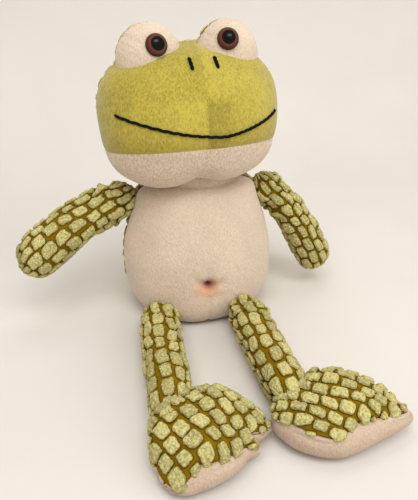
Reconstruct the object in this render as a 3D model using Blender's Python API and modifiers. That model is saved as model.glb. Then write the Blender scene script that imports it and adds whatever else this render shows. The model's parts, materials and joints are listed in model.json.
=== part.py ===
"""A sitting plush frog: sewn panels over fibre filling, with a pellet pouch in the seat.

Metres, +Z up. The frog faces -Y, so its own right side is at -X and its left side at +X. Each body part
is a closed form shaped from a sphere. Its panels are that form with the cloth's thickness, cut along the
seams, and its filling is the same form drawn in. Every limb is gathered to a ball at its root. The ball
turns in a round recess, over a small cloth gusset that holds the first of its two joints.
"""

import math

import bmesh
import bpy
from mathutils import Euler, Matrix, Vector

# Cloth, seams and clearances
SKIN = 0.0012
GUSSET_CLOTH = 0.0008
SEAM_GAP = 0.0004
CLEARANCE = 0.0003
FILL_GAP = 0.0008
PRESSED_DEPTH = 0.0005
BLOCK_SIZE = 0.6
WELD = 0.00001

# Torso: its shoulders end at a ball that carries the head
TORSO_WIDTH = 0.1345
TORSO_DEPTH = 0.102
TORSO_SHOULDER_HEIGHT = 0.1185
SIDE_SEAM_Y = 0.004
SEAT_SEAM_HEIGHT = 0.009
PELLET_HEIGHT = 0.024

# Neck ball, its gusset and the pose of the head
NECK_BALL_RADIUS = 0.040
NECK_HEIGHT = 0.0945
NECK_Y = 0.003
NECK_BALL_ANGLE = math.radians(38)
NECK_GUSSET_RADIUS = 0.0165
HEAD_TURNED = math.radians(4)
HEAD_ROLLED = math.radians(-1)

# Head, measured from the neck's centre
HEAD_WIDTH = 0.142
HEAD_DEPTH = 0.103
HEAD_HEIGHT = 0.1060
HEAD_BASE = 0.0275
HEAD_SHIFT = 0.006
BACK_SEAM_Y = 0.005
CHIN_SEAM_HEIGHT = 0.0563
CHIN_SEAM_TILT = math.radians(9)
MIDDLE_SEAM_LEAN = math.radians(4)

# Eye bumps on top of the head, measured from the head's middle
BUMP_SPACING = 0.0596
BUMP_WIDTH = 0.049
BUMP_DEPTH = 0.040
BUMP_HEIGHT = 0.052
BUMP_RISE = 0.1230
BUMP_Y = -0.011

# Safety eyes
EYE_SPACING = 0.053
EYE_RADIUS = 0.008
EYE_DOME = 0.005
EYE_RIM = 0.0004
EYE_DISH_RADIUS = 0.028
RIGHT_EYE_TILT = math.radians(28)
LEFT_EYE_TILT = math.radians(32)
SHANK_RADIUS = 0.0025
SHANK_LENGTH = 0.012
WASHER_RADIUS = 0.0075
WASHER_THICKNESS = 0.0015
WASHER_DEPTH = 0.0042

# Embroidered lines on the snout. The mouth's low point lies beside the middle seam, its height is from the
# neck's centre, and it ends short of the head's sides. The nostrils lie a drop below the head's top.
THREAD_RADIUS = 0.0007
THREAD_LIFT = 0.0001
MOUTH_MARGIN = 0.010
MOUTH_HEIGHT = 0.0750
MOUTH_SHIFT = 0.013
RIGHT_MOUTH_RISE = 0.0155
LEFT_MOUTH_RISE = 0.0100
NOSTRIL_SPACING = 0.019
NOSTRIL_LENGTH = 0.0075
NOSTRIL_DROP = 0.0112
NOSTRIL_SHIFT = 0.005

# Navel, tucked into the tummy
NAVEL_RADIUS = 0.0045
NAVEL_CLOTH = 0.0008
NAVEL_HEIGHT = 0.041

# Arms, each with its shoulder's centre a little outside the torso's side
ARM_LENGTH = 0.100
ARM_WIDTH = 0.037
ARM_THICKNESS = 0.0295
ARM_BOW = 0.006
ARM_BALL_RADIUS = 0.0135
SHOULDER_OUT = 0.0108
SHOULDER_Y = 0.0080
SHOULDER_HEIGHT = 0.1015
RIGHT_ARM_DROP = math.radians(27)
RIGHT_ARM_FORWARD = math.radians(18)
RIGHT_ARM_TWIST = math.radians(0)
LEFT_ARM_DROP = math.radians(57)
LEFT_ARM_FORWARD = math.radians(5)
LEFT_ARM_TWIST = math.radians(70)

# Legs, each with its hip's centre a little ahead of the torso's front
LEG_LENGTH = 0.105
LEG_WIDTH = 0.0305
LEG_THICKNESS = 0.0285
HIP_BALL_RADIUS = 0.0140
ANKLE_BALL_RADIUS = 0.0135
LEG_LIFT = 0.0150
HIP_SPACING = 0.075
HIP_SHIFT = 0.0065
RIGHT_HIP_OUT = 0.0020
LEFT_HIP_OUT = 0.0060
RIGHT_LEG_SPREAD = math.radians(2.5)
LEFT_LEG_SPREAD = math.radians(2)
GUSSET_REACH_SHARE = 0.57

# Feet, measured from the ankle
FOOT_REACH = 0.027
FOOT_HALF_WIDTH = 0.032
FOOT_HEEL = 0.027
FOOT_TOE = 0.041
TOE_LENGTH = 0.010
TOE_SPREAD = math.radians(50)
TOE_FADE = math.radians(82)
FOOT_TOP = 0.0165
FOOT_BOTTOM = 0.0200
FOOT_RISE = 0.0030
FOOT_PITCH = math.radians(8)
ANKLE_FLEX = math.radians(25)
ANKLE_ROOM = 0.030
RIGHT_FOOT_TURN = math.radians(26)
LEFT_FOOT_TURN = math.radians(55)

# Stations of the forms, as shares: height, half width, half depth, lean of the middle (share of the depth)
torso_shares = (
    (0.000, 0.000, 0.000, -0.050),
    (0.001, 0.490, 0.560, -0.050),
    (0.046, 0.790, 0.840, -0.050),
    (0.155, 0.950, 1.000, -0.040),
    (0.323, 1.000, 1.000, -0.030),
    (0.491, 1.000, 0.930, -0.020),
    (0.676, 0.914, 0.830, 0.000),
    (0.844, 0.824, 0.730, 0.020),
    (0.940, 0.750, 0.655, 0.028),
    (0.985, 0.610, 0.570, 0.030),
    (1.000, 0.490, 0.510, 0.030),
)
head_shares = (
    (0.000, 0.000, 0.000, -0.060),
    (0.029, 0.580, 0.460, -0.060),
    (0.086, 0.820, 0.680, -0.063),
    (0.181, 0.935, 0.840, -0.078),
    (0.314, 0.986, 0.950, -0.087),
    (0.467, 1.000, 1.000, -0.107),
    (0.638, 0.993, 0.920, -0.078),
    (0.771, 0.930, 0.806, -0.068),
    (0.876, 0.790, 0.640, -0.068),
    (0.952, 0.563, 0.447, -0.068),
    (1.000, 0.000, 0.000, -0.068),
)
# Stations of the limbs beyond the root ball: place along the limb, half width, half thickness
arm_shares = (
    (0.12, 0.79, 0.92),
    (0.28, 0.92, 0.96),
    (0.52, 1.00, 0.98),
    (0.78, 1.03, 1.00),
    (0.93, 0.80, 0.78),
)
leg_shares = (
    (0.18, 0.97, 0.99),
    (0.50, 1.00, 1.00),
    (0.82, 0.96, 0.98),
)

# How finely the forms are divided
TORSO_SEGMENTS = 24
TORSO_RINGS = 12
HEAD_SEGMENTS = 24
HEAD_RINGS = 14
BUMP_SEGMENTS = 18
BUMP_RINGS = 9
LIMB_SEGMENTS = 12
LIMB_RINGS = 6
BALL_RINGS = 3
FOOT_SEGMENTS = 26
FOOT_RINGS = 6
CUTTER_SEGMENTS = 32
FILL_SEGMENTS = 12
LIMB_FILL_SEGMENTS = 8
NECK_CUTTER_SEGMENTS = 40
TURNED_STEPS = 16
ARC_STEPS = 2
EYE_STEPS = 5
MOUTH_STEPS = 12
NOSTRIL_STEPS = 3
HEAD_SQUARENESS = 2.25
MOUTH_CURL = 1.5

# Colour and roughness of each material
FINISHES = {
    "cream": ((0.72, 0.61, 0.45, 1.0), 0.9),
    "velour": ((0.42, 0.40, 0.08, 1.0), 0.85),
    "patched": ((0.47, 0.53, 0.20, 1.0), 0.9),
    "fibre": ((0.80, 0.80, 0.78, 1.0), 0.95),
    "pouch": ((0.55, 0.55, 0.52, 1.0), 0.8),
    "eye": ((0.06, 0.025, 0.01, 1.0), 0.08),
    "washer": ((0.75, 0.75, 0.72, 1.0), 0.5),
    "thread": ((0.01, 0.01, 0.01, 1.0), 0.6),
    "navel": ((0.75, 0.40, 0.30, 1.0), 0.85),
}

SIDES = {"right": -1, "left": 1}
COLLECTIONS = {}
MATERIALS = {}


def clear_scene():
    for obj in list(bpy.data.objects):
        bpy.data.objects.remove(obj, do_unlink=True)


def new_collection(name):
    collection = bpy.data.collections.new(name)
    bpy.context.scene.collection.children.link(collection)
    return collection


def new_material(name, colour, roughness):
    material = bpy.data.materials.new(name)
    material.use_nodes = True
    shader = material.node_tree.nodes["Principled BSDF"]
    shader.inputs["Base Color"].default_value = colour
    shader.inputs["Roughness"].default_value = roughness
    shader.inputs["Metallic"].default_value = 0.0
    material.diffuse_color = colour
    return material


def new_frame(name, location, rotation, parent):
    """An empty at a joint's centre: what is parented to it turns about its origin."""
    frame = bpy.data.objects.new(name, None)
    COLLECTIONS["parts"].objects.link(frame)
    frame.location = location
    frame.rotation_euler = rotation
    frame.parent = parent
    return frame


def new_part(name, bm, parent, material):
    mesh = bpy.data.meshes.new(name)
    bm.to_mesh(mesh)
    bm.free()
    mesh.shade_smooth()
    mesh.materials.append(material)
    part = bpy.data.objects.new(name, mesh)
    COLLECTIONS["parts"].objects.link(part)
    part.parent = parent
    return part


def new_cutter(name, bm, parent):
    mesh = bpy.data.meshes.new(name)
    bm.to_mesh(mesh)
    bm.free()
    cutter = bpy.data.objects.new(name, mesh)
    COLLECTIONS["cutters"].objects.link(cutter)
    cutter.parent = parent
    cutter.hide_render = True
    cutter.display_type = "WIRE"
    return cutter


def new_panel(name, bm, parent, material, seams):
    """A sewn panel: the form's cloth, cut away behind each seam, half the seam's gap back from it."""
    part = new_part(name, bm, parent, MATERIALS[material])
    solidify = part.modifiers.new("cloth", "SOLIDIFY")
    solidify.thickness = SKIN
    solidify.offset = -1
    solidify.use_even_offset = True
    for number, (point, normal) in enumerate(seams):
        combine(part, seam_block(f"{name}_seam_{number}", point, normal, parent))
    return part


def seam_block(name, point, normal, parent):
    """A block whose top lies half a seam's gap in front of the seam: it takes all that is behind."""
    bm = bmesh.new()
    bmesh.ops.create_cube(bm, size=BLOCK_SIZE)
    facing = Vector(normal).normalized()
    turn = facing.to_track_quat("Z", "Y").to_matrix().to_4x4()
    top = Vector(point) + facing * SEAM_GAP / 2
    place = Matrix.Translation(top - facing * BLOCK_SIZE / 2) @ turn
    bmesh.ops.transform(bm, matrix=place, verts=bm.verts)
    return new_cutter(name, bm, parent)


def combine(part, cutter, operation="DIFFERENCE"):
    boolean = part.modifiers.new(f"{operation.lower()} {cutter.name}", "BOOLEAN")
    boolean.operation = operation
    boolean.object = cutter
    boolean.solver = "EXACT"
    return part


def smooth_rings(stations, count):
    """`count` + 1 rings, evenly spaced along a smooth curve through the stations.

    A ring is its height, half width, half depth and the shift of its middle. A station with no width is a
    pole, where the curve arrives level.
    """
    points = [Vector(station) for station in stations]

    def beyond(end, inner):
        if end[1] == 0:
            return Vector((inner[0], -inner[1], -inner[2], inner[3]))
        return 2 * end - inner

    padded = [beyond(points[0], points[1]), *points, beyond(points[-1], points[-2])]
    fine = [points[0]]
    steps = 24
    for a, b, c, d in zip(padded, padded[1:], padded[2:], padded[3:]):
        for step in range(1, steps + 1):
            t = step / steps
            fine.append(0.5 * ((2 * b) + (c - a) * t + (2 * a - 5 * b + 4 * c - d) * t**2
                               + (3 * b - a - 3 * c + d) * t**3))
    walked = [0.0]
    for a, b in zip(fine, fine[1:]):
        walked.append(walked[-1] + math.hypot(b[0] - a[0], b[1] - a[1]))
    rings = []
    place = 0
    for step in range(count + 1):
        goal = walked[-1] * step / count
        while place < len(walked) - 2 and walked[place + 1] < goal:
            place += 1
        part_way = (goal - walked[place]) / (walked[place + 1] - walked[place])
        rings.append(fine[place].lerp(fine[place + 1], min(part_way, 1)))
    return rings


def ring_at(rings, height):
    """The ring of a form at one height, between its two neighbours."""
    for low, high in zip(rings, rings[1:]):
        if low[0] <= height <= high[0]:
            return low.lerp(high, (height - low[0]) / (high[0] - low[0]))
    return rings[-1]


def shaped_form(rings, segments, squareness=2.0, inset=0.0, twist=0.0):
    """A closed form: a sphere whose rings take the given heights, half widths, half depths and shifts."""
    bm = bmesh.new()
    count = len(rings) - 1
    bmesh.ops.create_uvsphere(bm, u_segments=segments, v_segments=count, radius=1)
    turn = Matrix.Rotation(twist, 2)
    power = 2 / squareness
    for vert in bm.verts:
        height = max(-1, min(1, vert.co.z))
        ring = rings[round(math.acos(-height) / math.pi * count)]
        across, along = vert.co.xy.normalized() if vert.co.xy.length > WELD else (0.0, 0.0)
        around = turn @ Vector((
            ring[1] * math.copysign(abs(across) ** power, across),
            ring[2] * math.copysign(abs(along) ** power, along),
        ))
        vert.co = (around.x, around.y + ring[3], ring[0])
    return drawn_in(bm, inset)


def drawn_in(bm, inset):
    """Moves every point inward along its normal: a filling behind the cloth, or a cutter with clearance."""
    bm.normal_update()
    moved = [(vert, vert.co - vert.normal * inset) for vert in bm.verts]
    for vert, place in moved:
        vert.co = place
    return bm


def ball(radius, segments):
    bm = bmesh.new()
    bmesh.ops.create_uvsphere(bm, u_segments=segments, v_segments=segments // 2, radius=radius)
    return bm


def turned(name, profile, parent, material=None):
    """A profile of (radius, height), turned about Z: a part, or a cutter if it has no material."""
    mesh = bpy.data.meshes.new(name)
    points = [(radius, 0, height) for radius, height in profile]
    edges = [(i, i + 1) for i in range(len(points) - 1)]
    if profile[0][0] > 0:
        edges.append((len(points) - 1, 0))
    mesh.from_pydata(points, edges, [])
    made = bpy.data.objects.new(name, mesh)
    made.parent = parent
    if material:
        mesh.materials.append(MATERIALS[material])
        COLLECTIONS["parts"].objects.link(made)
    else:
        COLLECTIONS["cutters"].objects.link(made)
        made.hide_render = True
        made.display_type = "WIRE"
    screw = made.modifiers.new("turned", "SCREW")
    screw.steps = TURNED_STEPS
    screw.render_steps = TURNED_STEPS
    screw.use_merge_vertices = True
    screw.merge_threshold = WELD
    screw.use_smooth_shade = True
    return made


def arc(radius, start, end, count):
    """Points (radius, height) of a profile's arc, at angles from the axis."""
    angles = [start + (end - start) * i / count for i in range(count + 1)]
    return [(radius * math.sin(angle), radius * math.cos(angle)) for angle in angles]


def gusset(name, ball_radius, reach, direction, parent):
    """The disc of cloth between a limb's ball and its recess, dished about the joint's centre."""
    inner = ball_radius + CLEARANCE
    rim = math.asin(reach / inner)
    profile = arc(inner + GUSSET_CLOTH, 0, rim, ARC_STEPS) + arc(inner, rim, 0, ARC_STEPS)
    made = turned(name, profile, parent, "patched")
    made.rotation_euler = aimed(direction)
    return made


def recess(name, ball_radius, parent, segments):
    """The room that a limb's ball needs, with its gusset."""
    return new_cutter(name, ball(ball_radius + CLEARANCE + GUSSET_CLOTH + CLEARANCE, segments), parent)


def aimed(direction):
    return Vector(direction).to_track_quat("Z", "Y").to_euler()


def torso_rings(count):
    """The torso up to its shoulders, then the neck's ball, which the head rides on."""
    rise = TORSO_SHOULDER_HEIGHT + PRESSED_DEPTH
    stations = [
        (high * rise - PRESSED_DEPTH, wide * TORSO_WIDTH / 2, deep * TORSO_DEPTH / 2, lean * TORSO_DEPTH)
        for high, wide, deep, lean in torso_shares
    ]
    dome = [
        Vector((NECK_HEIGHT + height, radius, radius, NECK_Y))
        for radius, height in arc(NECK_BALL_RADIUS, NECK_BALL_ANGLE, 0, BALL_RINGS)
    ]
    return smooth_rings([*stations, tuple(dome[0])], count)[:-1] + dome


def torso_form(segments, inset=0.0):
    """The torso, with its seat pressed flat."""
    bm = shaped_form(torso_rings(TORSO_RINGS), segments, inset=inset)
    for vert in bm.verts:
        vert.co.z = max(vert.co.z, inset)
    return bm


def head_rings(count):
    stations = [
        (HEAD_BASE + high * HEAD_HEIGHT, wide * HEAD_WIDTH / 2, deep * HEAD_DEPTH / 2, lean * HEAD_DEPTH)
        for high, wide, deep, lean in head_shares
    ]
    return smooth_rings(stations, count)


def head_form(segments, inset=0.0):
    bm = shaped_form(head_rings(HEAD_RINGS), segments, HEAD_SQUARENESS, inset)
    bmesh.ops.translate(bm, verts=bm.verts, vec=(-HEAD_SHIFT, 0, 0))
    return bm


def snout_point(rings, across, height):
    """The point of the head's front at a distance from its middle seam and a height."""
    ring = ring_at(rings, height)
    left_over = 1 - abs(across / ring[1]) ** HEAD_SQUARENESS
    return Vector((across - HEAD_SHIFT, ring[3] - ring[2] * left_over ** (1 / HEAD_SQUARENESS), height))


def lifted_from_snout(across, height):
    """Where a thread's middle lies over that point, square to the cloth."""
    rings = head_rings(HEAD_RINGS * 4)
    step = THREAD_RADIUS
    sideways = snout_point(rings, across + step, height) - snout_point(rings, across - step, height)
    upward = snout_point(rings, across, height + step) - snout_point(rings, across, height - step)
    outward = sideways.cross(upward).normalized()
    return snout_point(rings, across, height) + outward * (THREAD_RADIUS + THREAD_LIFT)


def bump_form(side, inset=0.0):
    bm = bmesh.new()
    bmesh.ops.create_uvsphere(bm, u_segments=BUMP_SEGMENTS, v_segments=BUMP_RINGS, radius=1)
    half_sizes = (BUMP_WIDTH / 2 - inset, BUMP_DEPTH / 2 - inset, BUMP_HEIGHT / 2 - inset)
    bmesh.ops.scale(bm, vec=half_sizes, verts=bm.verts)
    bmesh.ops.translate(bm, vec=bump_middle(side), verts=bm.verts)
    return bm


def bump_middle(side):
    return Vector((side * BUMP_SPACING / 2 - HEAD_SHIFT, BUMP_Y, BUMP_RISE))


def limb_rings(ball_radius, width, thickness, length, shares, end_radius=0.0, bow=0.0):
    """Rings from the root ball's pole to the limb's end, which is a ball, or a tip if it has no radius."""
    quarter = arc(ball_radius, 0, math.pi / 2, BALL_RINGS)
    root = [Vector((-height, radius, radius, 0)) for radius, height in quarter]
    stations = [tuple(root[-1])]
    for place, wide, thick in shares:
        rise = bow * 4 * place * (1 - place)
        stations.append((place * length, wide * width / 2, thick * thickness / 2, rise))
    stations.append((length, end_radius, end_radius, 0))
    if not end_radius:
        return root[:-1] + smooth_rings(stations, LIMB_RINGS + BALL_RINGS)
    quarter = arc(end_radius, math.pi / 2, 0, BALL_RINGS)
    end = [Vector((length + height, radius, radius, 0)) for radius, height in quarter]
    return root[:-1] + smooth_rings(stations, LIMB_RINGS) + end[1:]


def foot_radius(angle):
    """How far the foot's outline is from its middle, at an angle from straight ahead."""
    ahead = max(0, math.cos(angle))
    behind = max(0, -math.cos(angle))
    outline = FOOT_HALF_WIDTH * math.sin(angle) ** 2 + FOOT_TOE * ahead**2 + FOOT_HEEL * behind**2
    toe_lobe = (1 + math.cos(angle * 2 * math.pi / TOE_SPREAD)) / 2
    fade = max(0, min(1, (TOE_FADE - abs(angle)) / (TOE_FADE - TOE_SPREAD)))
    return outline + TOE_LENGTH * toe_lobe * fade


def foot_form(inset=0.0):
    """A cushion with a scalloped toe edge, its middle ahead of the ankle."""
    bm = bmesh.new()
    bmesh.ops.create_uvsphere(bm, u_segments=FOOT_SEGMENTS, v_segments=FOOT_RINGS, radius=1)
    for vert in bm.verts:
        spread = vert.co.xy.length
        angle = math.atan2(vert.co.x, -vert.co.y) if spread > WELD else 0.0
        reach = foot_radius(angle) * spread
        height = FOOT_RISE + vert.co.z * (FOOT_TOP if vert.co.z > 0 else FOOT_BOTTOM)
        vert.co = (reach * math.sin(angle), -FOOT_REACH - reach * math.cos(angle), height)
    return drawn_in(bm, inset)


def ankle_flare():
    """The room behind the ankle that the leg needs as the foot flexes: a cone that opens up the leg."""
    near = ANKLE_BALL_RADIUS + CLEARANCE
    far = near + ANKLE_ROOM * math.tan(ANKLE_FLEX)
    bm = bmesh.new()
    bmesh.ops.create_cone(
        bm, cap_ends=True, segments=CUTTER_SEGMENTS, radius1=far, radius2=near, depth=ANKLE_ROOM
    )
    return bm


def build_torso(root):
    side_seam = Vector((0, SIDE_SEAM_Y, 0))
    seat_seam = Vector((0, 0, SEAT_SEAM_HEIGHT))
    panels = {
        "tummy_panel": ("cream", ((side_seam, (0, -1, 0)), (seat_seam, (0, 0, 1)))),
        "back_panel": ("patched", ((side_seam, (0, 1, 0)), (seat_seam, (0, 0, 1)))),
        "seat_panel": ("patched", ((seat_seam, (0, 0, -1)),)),
    }
    torso = {
        name: new_panel(name, torso_form(TORSO_SEGMENTS), root, material, seams)
        for name, (material, seams) in panels.items()
    }
    pellet_top = Vector((0, 0, PELLET_HEIGHT))
    for name, material, facing in (("torso_filling", "fibre", 1), ("pellet_pouch", "pouch", -1)):
        torso[name] = new_part(name, torso_form(FILL_SEGMENTS, SKIN + FILL_GAP), root, MATERIALS[material])
        combine(torso[name], seam_block(f"{name}_seam", pellet_top, (0, 0, facing), root))

    ring = ring_at(torso_rings(TORSO_RINGS), NAVEL_HEIGHT)
    navel = new_frame("navel", (0, ring[3] - ring[2], NAVEL_HEIGHT), (math.pi / 2, 0, 0), root)
    cup = arc(NAVEL_RADIUS - NAVEL_CLOTH, math.pi, math.pi / 2, ARC_STEPS)
    cup += arc(NAVEL_RADIUS, math.pi / 2, math.pi, ARC_STEPS)
    turned("navel_tuck", cup, navel, "navel")
    hole = new_cutter("navel_hole", ball(NAVEL_RADIUS + CLEARANCE, TURNED_STEPS), navel)
    combine(torso["tummy_panel"], hole)
    combine(torso["torso_filling"], hole)
    return torso


def build_eye(name, side, tilt, head):
    """A domed eye on the bump's front. Its shank goes through the cloth to a washer in the filling.

    It gives back two cutters: the pocket in the filling and the hole in the cloth.
    """
    inward = side * (EYE_SPACING - BUMP_SPACING) / 2
    halves = Vector((BUMP_WIDTH, BUMP_DEPTH, BUMP_HEIGHT)) / 2
    left_over = math.sqrt(1 - (inward / halves.x) ** 2)
    seat = Vector((inward, -halves.y * left_over * math.cos(tilt), halves.z * left_over * math.sin(tilt)))
    facing = Vector((seat.x / halves.x**2, seat.y / halves.y**2, seat.z / halves.z**2)).normalized()
    place = new_frame(f"{name}_place", bump_middle(side) + seat + facing * CLEARANCE, aimed(facing), head)

    def dish(radius):
        return math.sqrt(EYE_DISH_RADIUS**2 - radius**2) - EYE_DISH_RADIUS

    rim = dish(EYE_RADIUS) + EYE_RIM
    quarter = arc(1, 0, math.pi / 2, EYE_STEPS)
    dome = [(EYE_RADIUS * radius, rim + (EYE_DOME - rim) * height) for radius, height in quarter]
    middle_radius = (EYE_RADIUS + SHANK_RADIUS) / 2
    back = [(radius, dish(radius)) for radius in (EYE_RADIUS, middle_radius, SHANK_RADIUS)]
    shank = [(SHANK_RADIUS, -SHANK_LENGTH), (0, -SHANK_LENGTH)]
    turned(name, dome + back + shank, place, "eye")

    bore = SHANK_RADIUS + CLEARANCE
    washer_back = -WASHER_DEPTH - WASHER_THICKNESS
    washer = [
        (WASHER_RADIUS, -WASHER_DEPTH),
        (WASHER_RADIUS, washer_back),
        (bore, washer_back),
        (bore, -WASHER_DEPTH),
    ]
    turned(f"{name}_washer", washer, place, "washer")

    room = WASHER_RADIUS + CLEARANCE
    shoulder = washer_back - CLEARANCE
    end = -SHANK_LENGTH - CLEARANCE
    pocket = [(0, EYE_DOME), (room, EYE_DOME), (room, shoulder), (bore, shoulder), (bore, end), (0, end)]
    hole = [(0, EYE_DOME), (bore, EYE_DOME), (bore, end), (0, end)]
    return turned(f"{name}_pocket", pocket, place), turned(f"{name}_hole", hole, place)


def thread(name, points, head):
    """A line of embroidery: a thin tube lying on the snout."""
    curve = bpy.data.curves.new(name, "CURVE")
    curve.dimensions = "3D"
    curve.bevel_depth = THREAD_RADIUS
    curve.bevel_resolution = 1
    curve.use_fill_caps = True
    spline = curve.splines.new("POLY")
    spline.points.add(len(points) - 1)
    for slot, place in zip(spline.points, points):
        slot.co = (*place, 1)
    curve.materials.append(MATERIALS["thread"])
    made = bpy.data.objects.new(name, curve)
    COLLECTIONS["parts"].objects.link(made)
    made.parent = head


def build_head(head):
    front = (Vector((0, BACK_SEAM_Y, 0)), (0, -1, 0))
    back = (Vector((0, BACK_SEAM_Y, 0)), (0, 1, 0))
    middle_seam = Vector((-HEAD_SHIFT, 0, CHIN_SEAM_HEIGHT))
    sideways = Vector((math.cos(MIDDLE_SEAM_LEAN), 0, -math.sin(MIDDLE_SEAM_LEAN)))
    chin_seam = Vector((0, 0, CHIN_SEAM_HEIGHT))
    above = Vector((0, math.sin(CHIN_SEAM_TILT), math.cos(CHIN_SEAM_TILT)))
    panels = {"head_back_panel": ("patched", (back,))}
    for side_name, side in SIDES.items():
        half = (middle_seam, side * sideways)
        panels[f"{side_name}_snout_panel"] = ("velour", (front, half, (chin_seam, above)))
        panels[f"{side_name}_chin_panel"] = ("cream", (front, half, (chin_seam, -above)))
    made = {
        name: new_panel(name, head_form(HEAD_SEGMENTS), head, material, seams)
        for name, (material, seams) in panels.items()
    }
    filling = new_part("head_filling", head_form(FILL_SEGMENTS, SKIN + FILL_GAP), head, MATERIALS["fibre"])
    dish = recess("neck_recess", NECK_BALL_RADIUS, head, NECK_CUTTER_SEGMENTS)
    head_room = new_cutter("head_room", head_form(HEAD_SEGMENTS, -CLEARANCE), head)

    bump_seam = Vector((0, BUMP_Y, 0))
    for side_name, side in SIDES.items():
        tilt = {"right": RIGHT_EYE_TILT, "left": LEFT_EYE_TILT}[side_name]
        pocket, shank_hole = build_eye(f"{side_name}_eye", side, tilt, head)
        brow_seam = (bump_seam, (0, -1, 0))
        brow = new_panel(f"{side_name}_brow_panel", bump_form(side), head, "cream", (brow_seam,))
        combine(brow, head_room)
        combine(brow, shank_hole)
        back_seam = (bump_seam, (0, 1, 0))
        back_name = f"{side_name}_bump_back_panel"
        bump_back = new_panel(back_name, bump_form(side), head, "patched", (back_seam,))
        combine(bump_back, head_room)
        bump_room = new_cutter(f"{side_name}_bump_room", bump_form(side, -CLEARANCE), head)
        combine(made[f"{side_name}_snout_panel"], bump_room)
        combine(made["head_back_panel"], bump_room)
        inner = bump_form(side, SKIN + FILL_GAP)
        combine(filling, new_cutter(f"{side_name}_bump_filling", inner, head), "UNION")
        combine(filling, pocket)
    for part in (made["right_chin_panel"], made["left_chin_panel"], made["head_back_panel"], filling):
        combine(part, dish)

    mouth = []
    mouth_reach = ring_at(head_rings(HEAD_RINGS), MOUTH_HEIGHT)[1] - MOUTH_MARGIN
    for step in range(-MOUTH_STEPS, MOUTH_STEPS + 1):
        share = step / MOUTH_STEPS
        rise = RIGHT_MOUTH_RISE if share < 0 else LEFT_MOUTH_RISE
        across = MOUTH_SHIFT + share * (mouth_reach - math.copysign(MOUTH_SHIFT, share))
        mouth.append(lifted_from_snout(across, MOUTH_HEIGHT + rise * abs(share) ** MOUTH_CURL))
    thread("mouth_stitching", mouth, head)
    for side_name, side in SIDES.items():
        steps = [step / NOSTRIL_STEPS - 0.5 for step in range(NOSTRIL_STEPS + 1)]
        across = side * NOSTRIL_SPACING / 2 + NOSTRIL_SHIFT
        middle = HEAD_BASE + HEAD_HEIGHT - NOSTRIL_DROP
        line = [lifted_from_snout(across, middle + NOSTRIL_LENGTH * step) for step in steps]
        thread(f"{side_name}_nostril_stitching", line, head)


def build_limb(name, frame, rings, twist, panels):
    """Two panels sewn along the limb, and its filling."""
    for panel, facing in panels.items():
        form = shaped_form(rings, LIMB_SEGMENTS, twist=twist)
        new_panel(f"{name}_{panel}", form, frame, "patched", ((Vector(), facing),))
    fibre = shaped_form(rings, LIMB_FILL_SEGMENTS, inset=SKIN + FILL_GAP, twist=twist)
    new_part(f"{name}_filling", fibre, frame, MATERIALS["fibre"])


def build_arm(side_name, drop, forward, twist, root, torso):
    side = SIDES[side_name]
    torso_side = ring_at(torso_rings(TORSO_RINGS), SHOULDER_HEIGHT)[1]
    place = (side * (torso_side + SHOULDER_OUT), SHOULDER_Y, SHOULDER_HEIGHT)
    shoulder = new_frame(f"{side_name}_shoulder", place, (0, 0, 0), root)
    reach = ARM_BALL_RADIUS * GUSSET_REACH_SHARE
    gusset(f"{side_name}_shoulder_gusset", ARM_BALL_RADIUS, reach, (-side, 0, 0), shoulder)
    room = recess(f"{side_name}_shoulder_recess", ARM_BALL_RADIUS, shoulder, CUTTER_SEGMENTS)
    for name in ("tummy_panel", "back_panel", "torso_filling"):
        combine(torso[name], room)
    level = math.cos(drop)
    direction = (side * level * math.cos(forward), -level * math.sin(forward), -math.sin(drop))
    arm = new_frame(f"{side_name}_arm", (0, 0, 0), aimed(direction), shoulder)
    rings = limb_rings(ARM_BALL_RADIUS, ARM_THICKNESS, ARM_WIDTH, ARM_LENGTH, arm_shares, bow=ARM_BOW)
    panels = {"front_panel": (-side, 0, 0), "back_panel": (side, 0, 0)}
    build_limb(f"{side_name}_arm", arm, rings, side * twist, panels)


def build_leg(side_name, hip_out, spread, foot_turn, root, torso):
    side = SIDES[side_name]
    ring = ring_at(torso_rings(TORSO_RINGS), LEG_LIFT)
    place = Vector((side * HIP_SPACING / 2 - HIP_SHIFT, ring[3] - ring[2] - hip_out, LEG_LIFT))
    hip = new_frame(f"{side_name}_hip", place, (0, 0, 0), root)
    gusset(f"{side_name}_hip_gusset", HIP_BALL_RADIUS, HIP_BALL_RADIUS * GUSSET_REACH_SHARE, (0, 1, 0), hip)
    room = recess(f"{side_name}_hip_recess", HIP_BALL_RADIUS, hip, CUTTER_SEGMENTS)
    for name in ("tummy_panel", "seat_panel", "torso_filling", "pellet_pouch"):
        combine(torso[name], room)
    direction = Vector((side * math.sin(spread), -math.cos(spread), 0))
    leg = new_frame(f"{side_name}_leg", (0, 0, 0), aimed(direction), hip)
    rings = limb_rings(HIP_BALL_RADIUS, LEG_WIDTH, LEG_THICKNESS, LEG_LENGTH, leg_shares, ANKLE_BALL_RADIUS)
    panels = {"top_panel": (0, 1, 0), "under_panel": (0, -1, 0)}
    build_limb(f"{side_name}_leg", leg, rings, 0, panels)
    build_foot(f"{side_name}_foot", direction, foot_turn, hip)


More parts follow.
